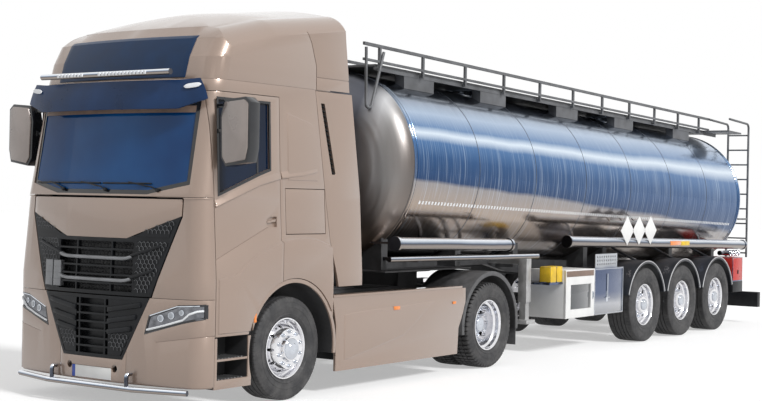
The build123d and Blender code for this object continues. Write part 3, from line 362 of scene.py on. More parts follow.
# Worn finishes as name, colour, roughness, metal, spread, scale, grain and lift
FINISHES = {
    "paint": body_paint(),
    "arch": body_paint("arch_paint", PAINTED_X),
    "box": polished_box(),
    "deck": worn("walkway_grating", (0.125, 0.128, 0.135), 0.5, 0.4, 0.3, 5, 400, 0.3),
    "steel": tank_steel(),
    "rubber": tyre_rubber(),
    "glass": tinted_glass("screen_glass", (0.003, 0.045, 0.170), (0.012, 0.120, 0.360)),
    "side_glass": tinted_glass("door_glass", (0.002, 0.006, 0.020), (0.005, 0.017, 0.048)),
    "alloy": worn("rim_alloy", (0.80, 0.80, 0.82), 0.13, 1.0, 0.08, 9, 260, 0.05),
    "chrome": worn("chrome", (0.58, 0.61, 0.66), 0.08, 1.0, 0.10, 8, 200, 0.02),
    "bar": banded("bar_chrome", 0.06, 1.5),
    "tube": banded("hose_tube_steel", 0.16, 1.1, 0.10),
    "rail": worn("rail_aluminium", (0.60, 0.60, 0.61), 0.34, 0.9, 0.15, 7, 500, 0.1),
    "silver": worn("leg_silver", (0.42, 0.42, 0.42), 0.5, 0.4, 0.2, 8, 600, 0.2),
    "plastic": worn("black_plastic", (0.011, 0.012, 0.014), 0.36, 0, 0.25, 9, 900, 0.15, Specular_IOR_Level=0.2),
    "gloss": worn("gloss_black", (0.010, 0.011, 0.014), 0.16, 0, 0.2, 5, 200, 0.02, Coat_Weight=0.2),
    "chassis": worn("chassis_coat", (0.038, 0.038, 0.040), 0.55, 0.1, 0.3, 9, 500, 0.3),
    "guard": worn("mudguard_plastic", (0.085, 0.085, 0.088), 0.6, 0, 0.3, 12, 350, 0.5),
    "dark_guard": worn("dark_mudguard", (0.020, 0.023, 0.030), 0.38, 0, 0.25, 6, 500, 0.15),
    "grey": worn("grey_trim", (0.20, 0.205, 0.215), 0.35, 0.3, 0.15, 8, 500, 0.1),
    "wire": worn("grille_wire", (0.115, 0.118, 0.125), 0.4, 0.2, 0.3, 40, 500, 0.1),
    "visor": worn("visor_tint", (0.010, 0.034, 0.100), 0.3, 0, 0.25, 3, 200, 0.02, Specular_IOR_Level=0.2),
    "navy": worn("sign_navy", (0.008, 0.028, 0.075), 0.34, 0, 0.15, 4, 400, 0.05, Specular_IOR_Level=0.2),
    "white": worn("white_trim", (0.78, 0.78, 0.77), 0.4, 0, 0.05, 6, 500, 0.08),
    "lamp": worn("lamp_reflector", (0.16, 0.165, 0.18), 0.16, 0.8, 0.35, 22, 300, 0.1),
    "light": worn("lamp_strip", (0.92, 0.94, 0.97), 0.2, 0, 0.03, 20, 300, 0.02),
    "amber": worn("amber_lens", (0.80, 0.22, 0.02), 0.18, 0, 0.15, 60, 300, 0.05, Coat_Weight=0.7),
    "red": worn("red_case", (0.50, 0.022, 0.015), 0.3, 0, 0.15, 6, 400, 0.08),
    "yellow": worn("yellow_case", (0.72, 0.47, 0.02), 0.4, 0, 0.15, 12, 400, 0.1),
    "fabric": worn("seat_fabric", (0.045, 0.047, 0.052), 0.9, 0, 0.2, 60, 1200, 0.5, Sheen_Weight=0.3),
    "dash": worn("dash_plastic", (0.055, 0.055, 0.058), 0.6, 0, 0.2, 20, 900, 0.3),
    "mirror": worn("mirror_glass", (0.72, 0.76, 0.80), 0.03, 1.0, 0.03, 3, 50, 0.01),
    "cast": worn("engine_cast", (0.10, 0.10, 0.10), 0.55, 0.5, 0.3, 14, 300, 0.4),
    "lens": worn("lamp_lens", (0.34, 0.37, 0.41), 0.05, 0, 0.1, 40, 300, 0.02, Coat_Weight=1.0),
    "tail": worn("red_lens", (0.40, 0.012, 0.010), 0.2, 0, 0.15, 60, 300, 0.05, Coat_Weight=0.7),
    "reflect": worn("reflective_white", (0.84, 0.85, 0.86), 0.32, 0, 0.06, 80, 900, 0.1),
    "shelf": worn("brown_strip", (0.19, 0.13, 0.10), 0.5, 0, 0.15, 12, 500, 0.1),
    "blue": worn("plate_blue", (0.02, 0.06, 0.34), 0.4, 0, 0.1, 20, 300, 0.05),
    "seam": brushed("weld_steel", (0.085, 0.095, 0.115), 0.34),
    "shell": worn("mirror_champagne", (0.235, 0.198, 0.180), 0.3, 0.4, 0.10, 5, 900, 0.04, Coat_Weight=1.0),
    "pane": worn("dark_pane", (0.045, 0.050, 0.056), 0.05, 0, 0.3, 6, 100, 0.02, Coat_Weight=1.0),
}


# The construction's own pieces are welded and their edges rounded, and small bends shade smooth
SMOOTH_BELOW = radians(24)
EDGE_ABOVE = radians(30)
FLAT_WITHIN = radians(0.4)
WELD_GAP = 0.00005


def settle_group():
    group = bpy.data.node_groups.new("settle", "GeometryNodeTree")
    for way in ("INPUT", "OUTPUT"):
        group.interface.new_socket("Geometry", in_out=way, socket_type="NodeSocketGeometry")
    make = group.nodes.new
    link = group.links.new
    keen = make("FunctionNodeCompare")
    keen.data_type = "FLOAT"
    keen.operation = "LESS_THAN"
    keen.inputs["B"].default_value = SMOOTH_BELOW
    faces = make("GeometryNodeSetShadeSmooth")
    edges = make("GeometryNodeSetShadeSmooth")
    edges.domain = "EDGE"
    link(make("GeometryNodeInputMeshEdgeAngle").outputs["Unsigned Angle"], keen.inputs["A"])
    link(make("NodeGroupInput").outputs[0], faces.inputs["Geometry"])
    link(faces.outputs["Geometry"], edges.inputs["Geometry"])
    link(keen.outputs["Result"], edges.inputs["Shade Smooth"])
    link(edges.outputs["Geometry"], make("NodeGroupOutput").inputs[0])
    return group


SETTLE = settle_group()


def soften(piece, edge):
    """Rounds a piece's edges, and shades its small bends smooth."""
    if edge:
        bevel = piece.modifiers.new("bevel", "BEVEL")
        bevel.width = edge
        bevel.segments = 2
        bevel.limit_method = "ANGLE"
        bevel.angle_limit = EDGE_ABOVE
    piece.modifiers.new("smooth", "NODES").node_group = SETTLE


def dress(name, finish, edge):
    """Gives a node of the construction its finish, and softens its edges without moving it."""
    piece = nodes[name]
    piece.data.materials.clear()
    piece.data.materials.append(FINISHES[finish].made)
    piece.modifiers.new("weld", "WELD").merge_threshold = WELD_GAP
    flat = piece.modifiers.new("flat", "DECIMATE")
    flat.decimate_type = "DISSOLVE"
    flat.angle_limit = FLAT_WITHIN
    soften(piece, edge)


DRESSES = (
    ("paint", 0.004, "cab_shell cab_roof front_panel corner_panels front_bumper door_left door_right "
                     "locker_hatch_left locker_hatch_right side_deflectors side_skirts"),
    ("arch", 0.003, "front_mudguards"),
    ("glass", 0.0, "windscreen"),
    ("side_glass", 0.0, "door_glass_left door_glass_right"),
    ("plastic", 0.003, "upper_grille lower_grille fuel_tanks rear_bumper"),
    ("lamp", 0.002, "headlamps"),
    ("visor", 0.003, "sun_visor"),
    ("bar", 0.0, "chrome_bars"),
    ("gloss", 0.006, "mirror_left mirror_right"),
    ("dash", 0.006, "dashboard"),
    ("fabric", 0.02, "seats"),
    ("chassis", 0.003, "tractor_frame front_axle drive_axle fifth_wheel trailer_frame trailer_axles "
                       "knuckle_left knuckle_right"),
    ("cast", 0.01, "engine"),
    ("guard", 0.003, "rear_mudguards"),
    ("dark_guard", 0.003, "trailer_mudguards"),
    ("steel", 0.0, "tank manlid_front manlid_rear"),
    ("deck", 0.002, "walkway"),
    ("tube", 0.0, "hose_tubes"),
    ("silver", 0.003, "landing_legs"),
    ("white", 0.003, "cabinet_door cabinet"),
    ("box", 0.004, "side_boxes"),
    ("alloy", 0.0, "front_rim_left front_rim_right drive_rims_left drive_rims_right"),
    ("rubber", 0.0, "front_tyre_left front_tyre_right drive_tyres_left drive_tyres_right "
                    "trailer_wheel_left_1 trailer_wheel_left_2 trailer_wheel_left_3 "
                    "trailer_wheel_right_1 trailer_wheel_right_2 trailer_wheel_right_3"),
)
for finish, edge, members in DRESSES:
    for member in members.split():
        dress(member, finish, edge)


# The part's material slots, each with the finishes that it takes
SLOTS = {
    "cab_paint": "paint", "tyre": "rubber", "alloy": "alloy", "chrome": "chrome",
    "grille_plastic": "plastic wire", "visor_plastic": "gloss navy", "grey_plastic": "grey",
    "walkway_steel": "rail", "chassis_paint": "chassis",
    "white_paint": "white reflect shelf blue red yellow", "lamp_glass": "light lens amber tail",
    "glass": "mirror pane", "tank_steel": "seam", "mirror_shell": "shell", "cab_plastic": "dash",
}
SLOT_OF = {finish: slot for slot, finishes in SLOTS.items() for finish in finishes.split()}


def mirrored(span, hand):
    return sorted((hand * span[0], hand * span[1]))


class Form:
    """Points and faces of one piece. Every method adds a closed shape and returns the form."""

    def __init__(self):
        self.points = []
        self.faces = []

    def add(self, points, faces):
        start = len(self.points)
        self.points += [tuple(point) for point in points]
        self.faces += [tuple(start + place for place in face) for face in faces]
        return self

    def rows(self, rows, close=False, caps=False):
        """Faces between rows of points, each row a ring. close joins the last row to the first."""
        count = len(rows[0])
        faces = []
        for row in range(len(rows) - (0 if close else 1)):
            here = row * count
            after = (row + 1) % len(rows) * count
            for place in range(count):
                beside = (place + 1) % count
                faces.append((here + place, here + beside, after + beside, after + place))
        if caps:
            last = (len(rows) - 1) * count
            faces += [tuple(range(count)), tuple(range(last, last + count))]
        return self.add([point for row in rows for point in row], faces)

    def slab(self, outline, along):
        """A flat outline pushed along a vector."""
        outline = [Vector(point) for point in outline]
        return self.rows([outline, [point + Vector(along) for point in outline]], caps=True)

    def box(self, x, station, z):
        corners = ((x[0], station[0]), (x[1], station[0]), (x[1], station[1]), (x[0], station[1]))
        return self.slab([at(*corner, z[0]) for corner in corners], (0, 0, z[1] - z[0]))

    def pair(self, x, station, z):
        """A box on each side."""
        for hand in HANDS:
            self.box(mirrored(x, hand), station, z)
        return self

    def tube(self, path, radius, sides=10):
        """A round tube along points; it keeps its radius through bends."""
        rings = []
        for index, place in enumerate(path):
            before = path[max(index - 1, 0)]
            after = path[min(index + 1, len(path) - 1)]
            way = (after - before).normalized()
            side = way.cross(Vector((0.017, 0.031, 1))).normalized()
            if side.length < 0.5:
                side = Vector((1, 0, 0))
            up = side.cross(way)
            rings.append([place + radius * (cos(turn) * side + sin(turn) * up) for turn in circle(sides)])
        return self.rows(rings, caps=True)

    def disc(self, centre, axis, radius, height, sides=24, dome=0.0):
        """A round or many-sided boss along an axis, its edge eased by dome."""
        axis = Vector(axis).normalized()
        side = axis.cross(Vector((0.11, 0.29, 0.95))).normalized()
        up = side.cross(axis)
        steps = [(radius, 0), (radius, height - dome)]
        if dome:
            steps.append((radius - dome, height))
        rings = []
        for reach, rise in steps:
            middle = Vector(centre) + rise * axis
            rings.append([middle + reach * (cos(turn) * side + sin(turn) * up) for turn in circle(sides)])
        return self.rows(rings, caps=True)

    def turned(self, centre, hand, section, turns, shape=None):
        """A closed section of (outboard distance, radius) about a wheel's axis. shape may change a radius."""
        rows = []
        for step, angle in enumerate(turns):
            row = []
            for u, radius in section:
                if shape:
                    radius = shape(u, radius, step)
                row.append(centre + Vector((hand * u, radius * cos(angle), radius * sin(angle))))
            rows.append(row)
        return self.rows(rows, close=True)


def circle(count):
    return [tau * step / count for step in range(count)]


def mesh_of(name, form):
    mesh = bpy.data.meshes.new(name)
    mesh.from_pydata(form.points, [], form.faces)
    work = bmesh.new()
    work.from_mesh(mesh)
    bmesh.ops.recalc_face_normals(work, faces=work.faces)
    work.to_mesh(mesh)
    work.free()
    return mesh


def set_piece(name, form, finish, body, edge=0.0, replaced=None):
    """Makes the piece, gives it its finish and sets it on its body."""
    piece = new_piece(name, mesh_of(name, form))
    piece.data.materials.append(FINISHES[finish].made)
    soften(piece, edge)
    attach(piece, body)
    if replaced:
        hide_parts(replaced)
    return piece


def set_boxes(name, finish, body, edge, *boxes):
    """A piece of plain boxes, each given across, by station and by height."""
    form = Form()
    for box in boxes:
        form.box(*box)
    return set_piece(name, form, finish, body, edge)


def pierce(piece, body, name, form, place):
    """Cuts a form's shapes out of a piece, as its modifier number place. The hidden cutter rides with it."""
    cutter = new_piece(name, mesh_of(name, form))
    cutter.hide_render = True
    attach(cutter, body)
    cut = piece.modifiers.new("holes", "BOOLEAN")
    cut.operation = "DIFFERENCE"
    cut.solver = "EXACT"
    cut.object = cutter
    piece.modifiers.move(len(piece.modifiers) - 1, place)


def eased(section, size):
    """A closed section with each corner cut back to a short arc of three points."""
    points = []
    for index, corner in enumerate(section):
        corner = Vector(corner)
        before = Vector(section[index - 1]) - corner
        after = Vector(section[(index + 1) % len(section)]) - corner
        start = corner + before.normalized() * min(size, 0.4 * before.length)
        end = corner + after.normalized() * min(size, 0.4 * after.length)
        points += [tuple(start), tuple(0.5 * corner + 0.25 * (start + end)), tuple(end)]
    return points


# Tyres: a flank with rim protector, wear ring and shoulder, then ribs or lugs
BEAD_R = 0.2877
GROOVE_W = 0.011
GROOVE_DEPTH = 0.013
SHOULDER_W = 0.045
NOTCH_DEPTH = 0.005
LUG_X = 0.06
LUG_DEPTH = 0.016
BLOCK_DEPTH = 0.009
# Treads: pitches round the tyre, shares of a pitch where a cut starts or ends, and the grooves' places across
RIBBED = (72, (0, 0.80, 0.84, 0.96), (-0.085, -0.030, 0.030, 0.085))
LUGGED = (56, (0, 0.62, 0.68, 0.94), (-0.062, 0.0, 0.062))
# Radius, width and half the rim's width
TYRE = (TYRE_R, 0.312, 0.127)
WIDE_TYRE = (WIDE_TYRE_R, 0.385, 0.162)


def tyre_section(radius, width, rim_half, grooves):
    half = width / 2
    flank = [
        (rim_half - 0.0145, BEAD_R), (rim_half - 0.0145, 0.3000),
        (half - 0.022, 0.3160), (half - 0.012, 0.3300),
        (half - 0.007, 0.3355), (half - 0.007, 0.3400), (half - 0.011, 0.3440), (half - 0.004, 0.3700),
        (half - 0.0005, 0.3950), (half - 0.003, 0.3970), (half - 0.003, 0.4010), (half - 0.0005, 0.4030),
        (half - 0.001, radius - 0.066), (half - 0.004, radius - 0.056), (half - 0.002, radius - 0.053),
        (half - 0.004, radius - 0.048), (half - 0.008, radius - 0.034), (half - 0.013, radius - 0.021),
        (half - 0.019, radius - 0.0095), (half - 0.030, radius - 0.0035),
    ]
    tread = []
    for middle in sorted(grooves, reverse=True):
        crown = 0.004 * (middle / half) ** 2
        for shift, drop in ((0.5, 0), (0.34, 1), (-0.34, 1), (-0.5, 0)):
            tread.append((middle + shift * GROOVE_W, radius - crown - drop * GROOVE_DEPTH))
    return flank + tread + [(-u, r) for u, r in reversed(flank)]


def blocks_round(count, shares):
    """Angles that repeat about a wheel: at each pitch, one for each share of it."""
    return [tau * (pitch + share) / count for pitch in range(count) for share in shares]


def rib_notches(radius, half):
    """Narrow cuts across the two shoulders; steps 2 and 3 of each pitch are a cut's floor."""
    def shape(u, r, step):
        if step % 4 >= 2 and abs(u) > half - SHOULDER_W and r > radius - 0.022:
            return r - NOTCH_DEPTH
        return r
    return shape


def lug_cuts(radius, _):
    """Deep cuts across the shoulders, and shallower ones between the middle blocks."""
    def shape(u, r, step):
        share = max(0.0, min(1.0, (r - (radius - 0.045)) / 0.03))
        if step % 4 >= 2:
            return r - (LUG_DEPTH * share if abs(u) > LUG_X else BLOCK_DEPTH)
        return r
    return shape


def add_tyre(form, centre, hand, size, tread, cuts):
    pitches, shares, grooves = tread
    turns = blocks_round(pitches, shares)
    return form.turned(centre, hand, tyre_section(*size, grooves), turns, cuts(size[0], size[1] / 2))


# Wheel faces: stud nuts, hub caps, valves and hand holes, about the wheel's middle
NUT_R = 0.1675
HOLE_R = 0.222
BOLT_R = 0.096
STUDS = 10
CAP_STEPS = 48
VALVE_R = 0.0045
VALVE_PATH = ((0, 0, 0), (0.03, -0.01, -0.018), (0.06, -0.018, -0.03))


def about(centre, hand, u, radius, count, start=0.0):
    """Places round a wheel's axis, at an outboard distance and a radius."""
    turns = [tau * (step + start) / count for step in range(count)]
    return [centre + Vector((hand * u, radius * cos(turn), radius * sin(turn))) for turn in turns]


def add_nuts(form, centre, hand, start, end):
    axis = Vector((hand, 0, 0))
    for place in about(centre, hand, start, NUT_R, STUDS, 0.5):
        form.disc(place, axis, 0.0215, 0.006, 16)
        form.disc(place, axis, 0.0165, end - start, 6, 0.004)
        form.disc(place + (end - start) * axis, axis, 0.0095, 0.010, 10, 0.003)


def add_cap(form, centre, hand, start, steps):
    """A hub cap from (radius, height) steps."""
    steps = ((0.001, 0.0), *steps, (0.001, steps[-1][1]))
    section = [(start + height, radius) for radius, height in steps]
    form.turned(centre, hand, section, circle(CAP_STEPS))


def add_valve(form, centre, hand, u, radius):
    foot = centre + Vector((hand * u, radius * 0.5, radius * 0.866))
    bends = [foot + Vector((hand * out, back, drop)) for out, back, drop in VALVE_PATH]
    form.tube(bends, VALVE_R, 8)


# For each kind of wheel: its nuts' span, its cap's start and steps, the valve's place, and the hand holes' span
# and radius
FITTINGS = {
    "front": ((0.170, 0.192), 0.199, ((0.104, 0.0), (0.104, 0.006), (0.098, 0.012), (0.062, 0.014),
                                      (0.054, 0.022)),
              (0.075, 0.252), (0.03, 0.19, 0.0165)),
    "drive": ((-0.130, -0.064), -0.031, ((0.112, 0.0), (0.112, 0.010), (0.104, 0.018), (0.088, 0.020),
                                         (0.084, 0.052), (0.078, 0.058), (0.030, 0.060)),
              (-0.02, 0.252), (-0.17, -0.03, 0.026)),
    "trailer": ((0.060, 0.090), 0.149, ((0.078, 0.0), (0.078, 0.012), (0.070, 0.026), (0.040, 0.032)),
                (0.06, 0.252), (-0.06, 0.12, 0.021)),
}


def wheel_face(kind, end, centre, hand, rim, slot):
    """Pierces a rim with hand holes, then sets its nuts, cap and valve."""
    body = f"wheel_{kind}_{end}"
    nuts, cap_start, cap, valve, (hole_start, hole_end, hole_r) = FITTINGS[kind]
    holes = Form()
    for place in about(centre, hand, hole_start, HOLE_R, STUDS):
        holes.disc(place, (hand, 0, 0), hole_r, hole_end - hole_start, 20)
    pierce(rim, body, f"{kind}_holes_{end}", holes, slot)
    form = Form()
    add_nuts(form, centre, hand, *nuts)
    add_cap(form, centre, hand, cap_start, cap)
    add_valve(form, centre, hand, *valve)
    if kind == "drive":
        for place in about(centre, hand, -0.012, BOLT_R, 8):
            form.disc(place, (hand, 0, 0), 0.007, 0.008, 6, 0.002)
    set_piece(f"{kind}_hub_fittings_{end}", form, "chrome", body, 0.0012)


RIM_STEPS = 96
FRONT_WHEEL_X = 1.032
DRIVE_WHEEL_X = (0.735, 1.075)
TRAILER_WHEEL_X = 1.030
# Section of a trailer rim: (outboard distance, radius)
TRAILER_RIM = (
    (-0.162, 0.298), (-0.150, 0.298), (-0.148, 0.2874), (-0.102, 0.2874), (-0.082, 0.262), (0.082, 0.262),
    (0.102, 0.2874), (0.148, 0.2874), (0.150, 0.298), (0.162, 0.298), (0.162, 0.286), (0.144, 0.274),
    (0.098, 0.274), (0.081, 0.250), (0.020, 0.250), (0.052, 0.200), (0.062, 0.192), (0.064, 0.142),
    (0.120, 0.130), (0.150, 0.118), (0.150, 0.067), (0.100, 0.067), (0.040, 0.142), (0.036, 0.192),
    (-0.020, 0.250), (-0.081, 0.250), (-0.098, 0.274), (-0.144, 0.274), (-0.162, 0.286),
)


def front_wheel(side, hand):
    centre = at(hand * FRONT_WHEEL_X, FRONT_AXLE, TYRE_R)
    tyre = add_tyre(Form(), centre, hand, TYRE, RIBBED, rib_notches)
    set_piece(f"steer_tyre_{side}", tyre, "rubber", f"wheel_front_{side}", 0, f"front_tyre_{side}")
    wheel_face("front", side, centre, hand, nodes[f"front_rim_{side}"], 1)


def drive_wheels(side, hand):
    tyres = Form()
    for x in DRIVE_WHEEL_X:
        centre = at(hand * x, DRIVE_AXLE, TYRE_R)
        add_tyre(tyres, centre, hand, TYRE, LUGGED, lug_cuts)
    set_piece(f"lugged_tyres_{side}", tyres, "rubber", f"wheel_drive_{side}", 0, f"drive_tyres_{side}")
    wheel_face("drive", side, centre, hand, nodes[f"drive_rims_{side}"], 1)


def trailer_wheel(end, hand, station):
    body = f"wheel_trailer_{end}"
    centre = at(hand * TRAILER_WHEEL_X, station, WIDE_TYRE_R)
    tyre = add_tyre(Form(), centre, hand, WIDE_TYRE, RIBBED, rib_notches)
    set_piece(f"trailer_tyre_{end}", tyre, "rubber", body, 0, f"trailer_wheel_{end}")
    rim = Form().turned(centre, hand, eased(TRAILER_RIM, 0.005), circle(RIM_STEPS))
    wheel_face("trailer", end, centre, hand, set_piece(f"trailer_rim_{end}", rim, "alloy", body), 0)


for side, hand in SIDES:
    front_wheel(side, hand)
    drive_wheels(side, hand)
    for number, station in enumerate(BOGIE, 1):
        trailer_wheel(f"{side}_{number}", hand, station)


# The cab's front follows a bow and two round corners: height, half width and set-back at each level
CAB_LEVELS = ((0.230, 1.250, 0.0), (1.200, 1.250, 0.0), (1.950, 1.205, 0.038), (3.060, 1.160, 0.222))
ROOF_LEVELS = ((3.062, 1.158, 0.232), (3.270, 1.156, 0.290), (3.450, 1.150, 0.385), (3.580, 1.145, 0.560))
BOW_R = 4.5
CORNER_R = 0.2


def level_at(z, levels=CAB_LEVELS):
    for low, high in zip(levels, levels[1:]):
        if z <= high[0]:
            share = max(0.0, (z - low[0]) / (high[0] - low[0]))
            return low[1] + share * (high[1] - low[1]), low[2] + share * (high[2] - low[2])
    return levels[-1][1:]


def front_at(x, z, out=0.0, levels=CAB_LEVELS):
    """The point of the cab's front at x and z, moved out of its face by a distance."""
    half, back = level_at(z, levels)
    half, back = half + out, back - out
    across = half - CORNER_R
    along = back + BOW_R - sqrt((BOW_R - CORNER_R) ** 2 - across ** 2)
    turn = atan2(back + BOW_R - along, across)
    if abs(x) <= BOW_R * cos(turn):
        return at(x, back + BOW_R - sqrt(BOW_R ** 2 - x * x), z)
    reach = min(CORNER_R, abs(x) - across)
    return at(x, along - sqrt(CORNER_R ** 2 - reach ** 2), z)


def side_at(station, z, hand, out=0.0):
    return at(hand * (level_at(z)[0] + out), station, z)


def between_points(corners, pitch):
    """Points along straight runs between corners, at about a pitch apart."""
    points = []
    for start, end in zip(corners, corners[1:]):
        start, end = Vector(start), Vector(end)
        steps = max(1, round((end - start).length / pitch))
        points += [start.lerp(end, step / steps) for step in range(steps)]
    return points + [Vector(corners[-1])]


def walked(outline, other, pitch):
    """Pairs of points, one on each of two closed outlines, at about a pitch apart on the first."""
    pairs = []
    for index in range(len(outline)):
        after = (index + 1) % len(outline)
        start, end = Vector(outline[index]), Vector(outline[after])
        steps = max(1, round((end - start).length / pitch))
        for step in range(steps):
            share = step / steps
            pairs.append((start.lerp(end, share), other[index].lerp(other[after], share)))
    return pairs


def inset(corners, distance):
    """A closed outline moved towards its middle. Its corners stay corners."""
    corners = [Vector(corner) for corner in corners]
    middle = sum(corners, Vector((0, 0))) / len(corners)
    moved = []
    for index, corner in enumerate(corners):
        lines = []
        for start, end in ((corners[index - 1], corner), (corner, corners[(index + 1) % len(corners)])):
            way = (end - start).normalized()
            normal = Vector((-way.y, way.x))
            if normal.dot(middle - 0.5 * (start + end)) < 0:
                normal = -normal
            lines.append((start + distance * normal, way))
        (first, along), (second, beside) = lines
        cross = along.x * beside.y - along.y * beside.x
        gap = second - first
        if abs(cross) > 1e-6:
            moved.append(first + along * ((gap.x * beside.y - gap.y * beside.x) / cross))
        else:
            moved.append(second)
    return moved


def front_band(form, outline, width, out, thick=0.0015):
    """A band of some width inside an outline on the cab's front."""
    rows = []
    for a, b in walked(outline, inset(outline, width), 0.08):
        corners = ((a, out), (b, out), (b, out - thick), (a, out - thick))
        rows.append([front_at(*spot, reach) for spot, reach in corners])
    return form.rows(rows, close=True)


def front_plate(form, x, heights, out, thick, levels=CAB_LEVELS):
    """A curved plate on the cab's front, between two x and along some heights."""
    steps = max(2, round((x[1] - x[0]) / 0.06))
    rows = []
    for step in range(steps + 1):
        across = x[0] + (x[1] - x[0]) * step / steps
        face = [front_at(across, z, out, levels) for z in heights]
        rows.append(face + [front_at(across, z, out - thick, levels) for z in reversed(heights)])
    return form.rows(rows, caps=True)


# Windscreen surround inside its opening, as x and height
SCREEN = ((0.600, 1.985), (1.045, 2.080), (1.045, 2.850), (-1.045, 2.850), (-1.045, 2.080), (-0.600, 1.985))
PANE_OUT = -0.0125
# Wipers: pivot and tip, by their x
WIPERS = ((0.72, 0.06), (0.10, -0.56), (-0.50, -0.96))
WIPER_FOOT_Z = 2.022
BLADE_Z = 2.085


def screen_trim():
    set_piece("screen_border", front_band(Form(), SCREEN, 0.040, PANE_OUT), "gloss", "tractor")
    shade = front_plate(Form(), (-1.00, 1.00), (2.745, 2.808), PANE_OUT, 0.0015)
    set_piece("sun_strip", shade, "shelf", "tractor")
    wipers = Form()
    for pivot, tip in WIPERS:
        foot = front_at(pivot, WIPER_FOOT_Z, -0.004)
        bend = front_at(pivot - 0.05, WIPER_FOOT_Z + 0.03, 0.022)
        elbow = front_at((pivot + tip) / 2, BLADE_Z + 0.012, 0.018)
        wipers.disc(foot, (0, -1, 0.2), 0.018, 0.026, 14, 0.005)
        wipers.tube([foot + Vector((0, -0.016, 0.004)), bend, elbow], 0.007, 8)
        start = pivot - 0.08
        blade = [front_at(start + (tip - start) * step / 4, BLADE_Z, 0.002) for step in range(5)]
        wipers.tube(blade, 0.008, 8)
    set_piece("wipers", wipers, "plastic", "tractor")


screen_trim()


# Side windows: a black seal round each opening with its four offsets, and a post before the pane's rear edge
WINDOW = ((0.412, 2.010), (0.412, 2.870), (1.130, 2.870), (1.130, 2.250), (0.980, 2.205))
POST = ((0.960, -0.030), (0.985, -0.030), (0.985, -0.016), (0.960, -0.016))


def window_seal(side, hand):
    rows = []
    for a, b in walked(WINDOW, inset(WINDOW, -0.024), 0.12):
        corners = ((a, 0.002), (b, 0.002), (b, -0.001), (a, -0.012))
        rows.append([side_at(*spot, hand, out) for spot, out in corners])
    form = Form().rows(rows, close=True)
    form.rows([[side_at(station, z, hand, out) for station, out in POST] for z in (2.205, 2.868)], caps=True)
    set_piece(f"window_seal_{side}", form, "gloss", f"door_{side}")


# Mouldings on the cab's sides as station and height; their section is a slope that faces up over an undercut
BELT = ((0.350, 1.945), (0.985, 2.158), (1.284, 2.225))
SLEEPER_BELT = ((1.300, 2.228), (1.640, 2.262), (1.860, 2.300))
MOULDING = ((0.0, -0.004), (0.0, 0.001), (-0.055, 0.018), (-0.067, 0.016), (-0.077, -0.004))


def side_mouldings(side, hand):
    for name, path, body in (("belt", BELT, f"door_{side}"), ("sleeper", SLEEPER_BELT, "tractor")):
        rows = [[side_at(station, z + lift, hand, out) for lift, out in MOULDING] for station, z in path]
        set_piece(f"{name}_moulding_{side}", Form().rows(rows, caps=True), "paint", body, 0.003)


# Mirrors: a champagne back, and two panes in the rear face
MIRROR = ((1.275, 2.330), (1.262, 2.700), (1.300, 2.860), (1.560, 2.880), (1.620, 2.830), (1.620, 2.420),
          (1.590, 2.290), (1.330, 2.250))
MIRROR_FACE = (0.340, 0.470)
PANE_SPLIT = 2.47


def mirror_trim(side, hand):
    outline = [at(hand * x, MIRROR_FACE[0] - 0.016, z) for x, z in inset(MIRROR, 0.024)]
    set_piece(f"mirror_back_{side}", Form().slab(outline, (0, 0.022, 0)), "shell", f"door_{side}", 0.012)
    upper = [(x, max(z, PANE_SPLIT + 0.012)) for x, z in inset(MIRROR, 0.032)][1:6]
    lower = ((1.32, 2.300), (1.302, PANE_SPLIT - 0.012), (1.588, PANE_SPLIT - 0.012), (1.560, 2.318))
    panes = Form()
    for corners in ((*upper, (1.302, PANE_SPLIT + 0.012)), lower):
        panes.slab([at(hand * x, MIRROR_FACE[1] - 0.002, z) for x, z in corners], (0, 0.005, 0))
    set_piece(f"mirror_panes_{side}", panes, "mirror", f"door_{side}", 0.002)


# Vent slots in the deflectors: slats before a dark back
VENT = ((1.950, 2.930), (2.010, 2.930), (2.175, 2.220), (2.115, 2.220))
SLAT = ((0.002, 0.008), (0.058, -0.012), (0.058, -0.020), (0.002, 0.000))
SLATS = 15


def deflector_vents():
    form = Form()
    for hand in HANDS:
        form.slab([side_at(station, z, hand, -0.030) for station, z in VENT], (-hand * 0.008, 0, 0))
        for step in range(SLATS):
            station, z = Vector(VENT[0]).lerp(Vector(VENT[3]), (step + 0.5) / SLATS)
            outline = [side_at(station + along, z + rise, hand, -0.003) for along, rise in SLAT]
            form.slab(outline, (-hand * 0.027, 0, 0))
    set_piece("deflector_slats", form, "plastic", "tractor", 0.001)


for side, hand in SIDES:
    window_seal(side, hand)
    side_mouldings(side, hand)
    mirror_trim(side, hand)
deflector_vents()


# Grille: wire cells, a dark core behind them, wings of honeycomb, grey bars and a sensor housing
CELL = 0.026
CELL_ROW = CELL * 1.5
CELL_COLUMN = CELL * 1.732
WIRE = 0.0028
WING_X = 0.508
LOWER_WING_X = 0.215
# Bars' section: station and height about their middle
BAR_SECTION = ((-0.014, -0.012), (-0.018, 0.000), (-0.014, 0.014), (0.016, 0.020), (0.016, -0.018))


def hexagon_mesh(form, middle):
    turns = (-pi / 3, 0, pi / 3, 2 * pi / 3)
    corners = [middle + CELL * Vector((sin(turn), 0, cos(turn))) for turn in turns]
    for start, end in zip(corners, corners[1:]):
        form.tube([start, end], WIRE, 4)


def add_cells(form, z, top, reach, out):
    """Rows of cells on both sides, from z up to top; reach gives the lowest and highest x at a height."""
    row = 0
    while z < top:
        low, high = reach(z)
        for column in range(40):
            x = (column + 0.5 * (row % 2)) * CELL_COLUMN
            if low <= x <= high:
                for hand in HANDS if x else (1,):
                    hexagon_mesh(form, front_at(hand * x, z, out))
        z += CELL_ROW
        row += 1
    return form


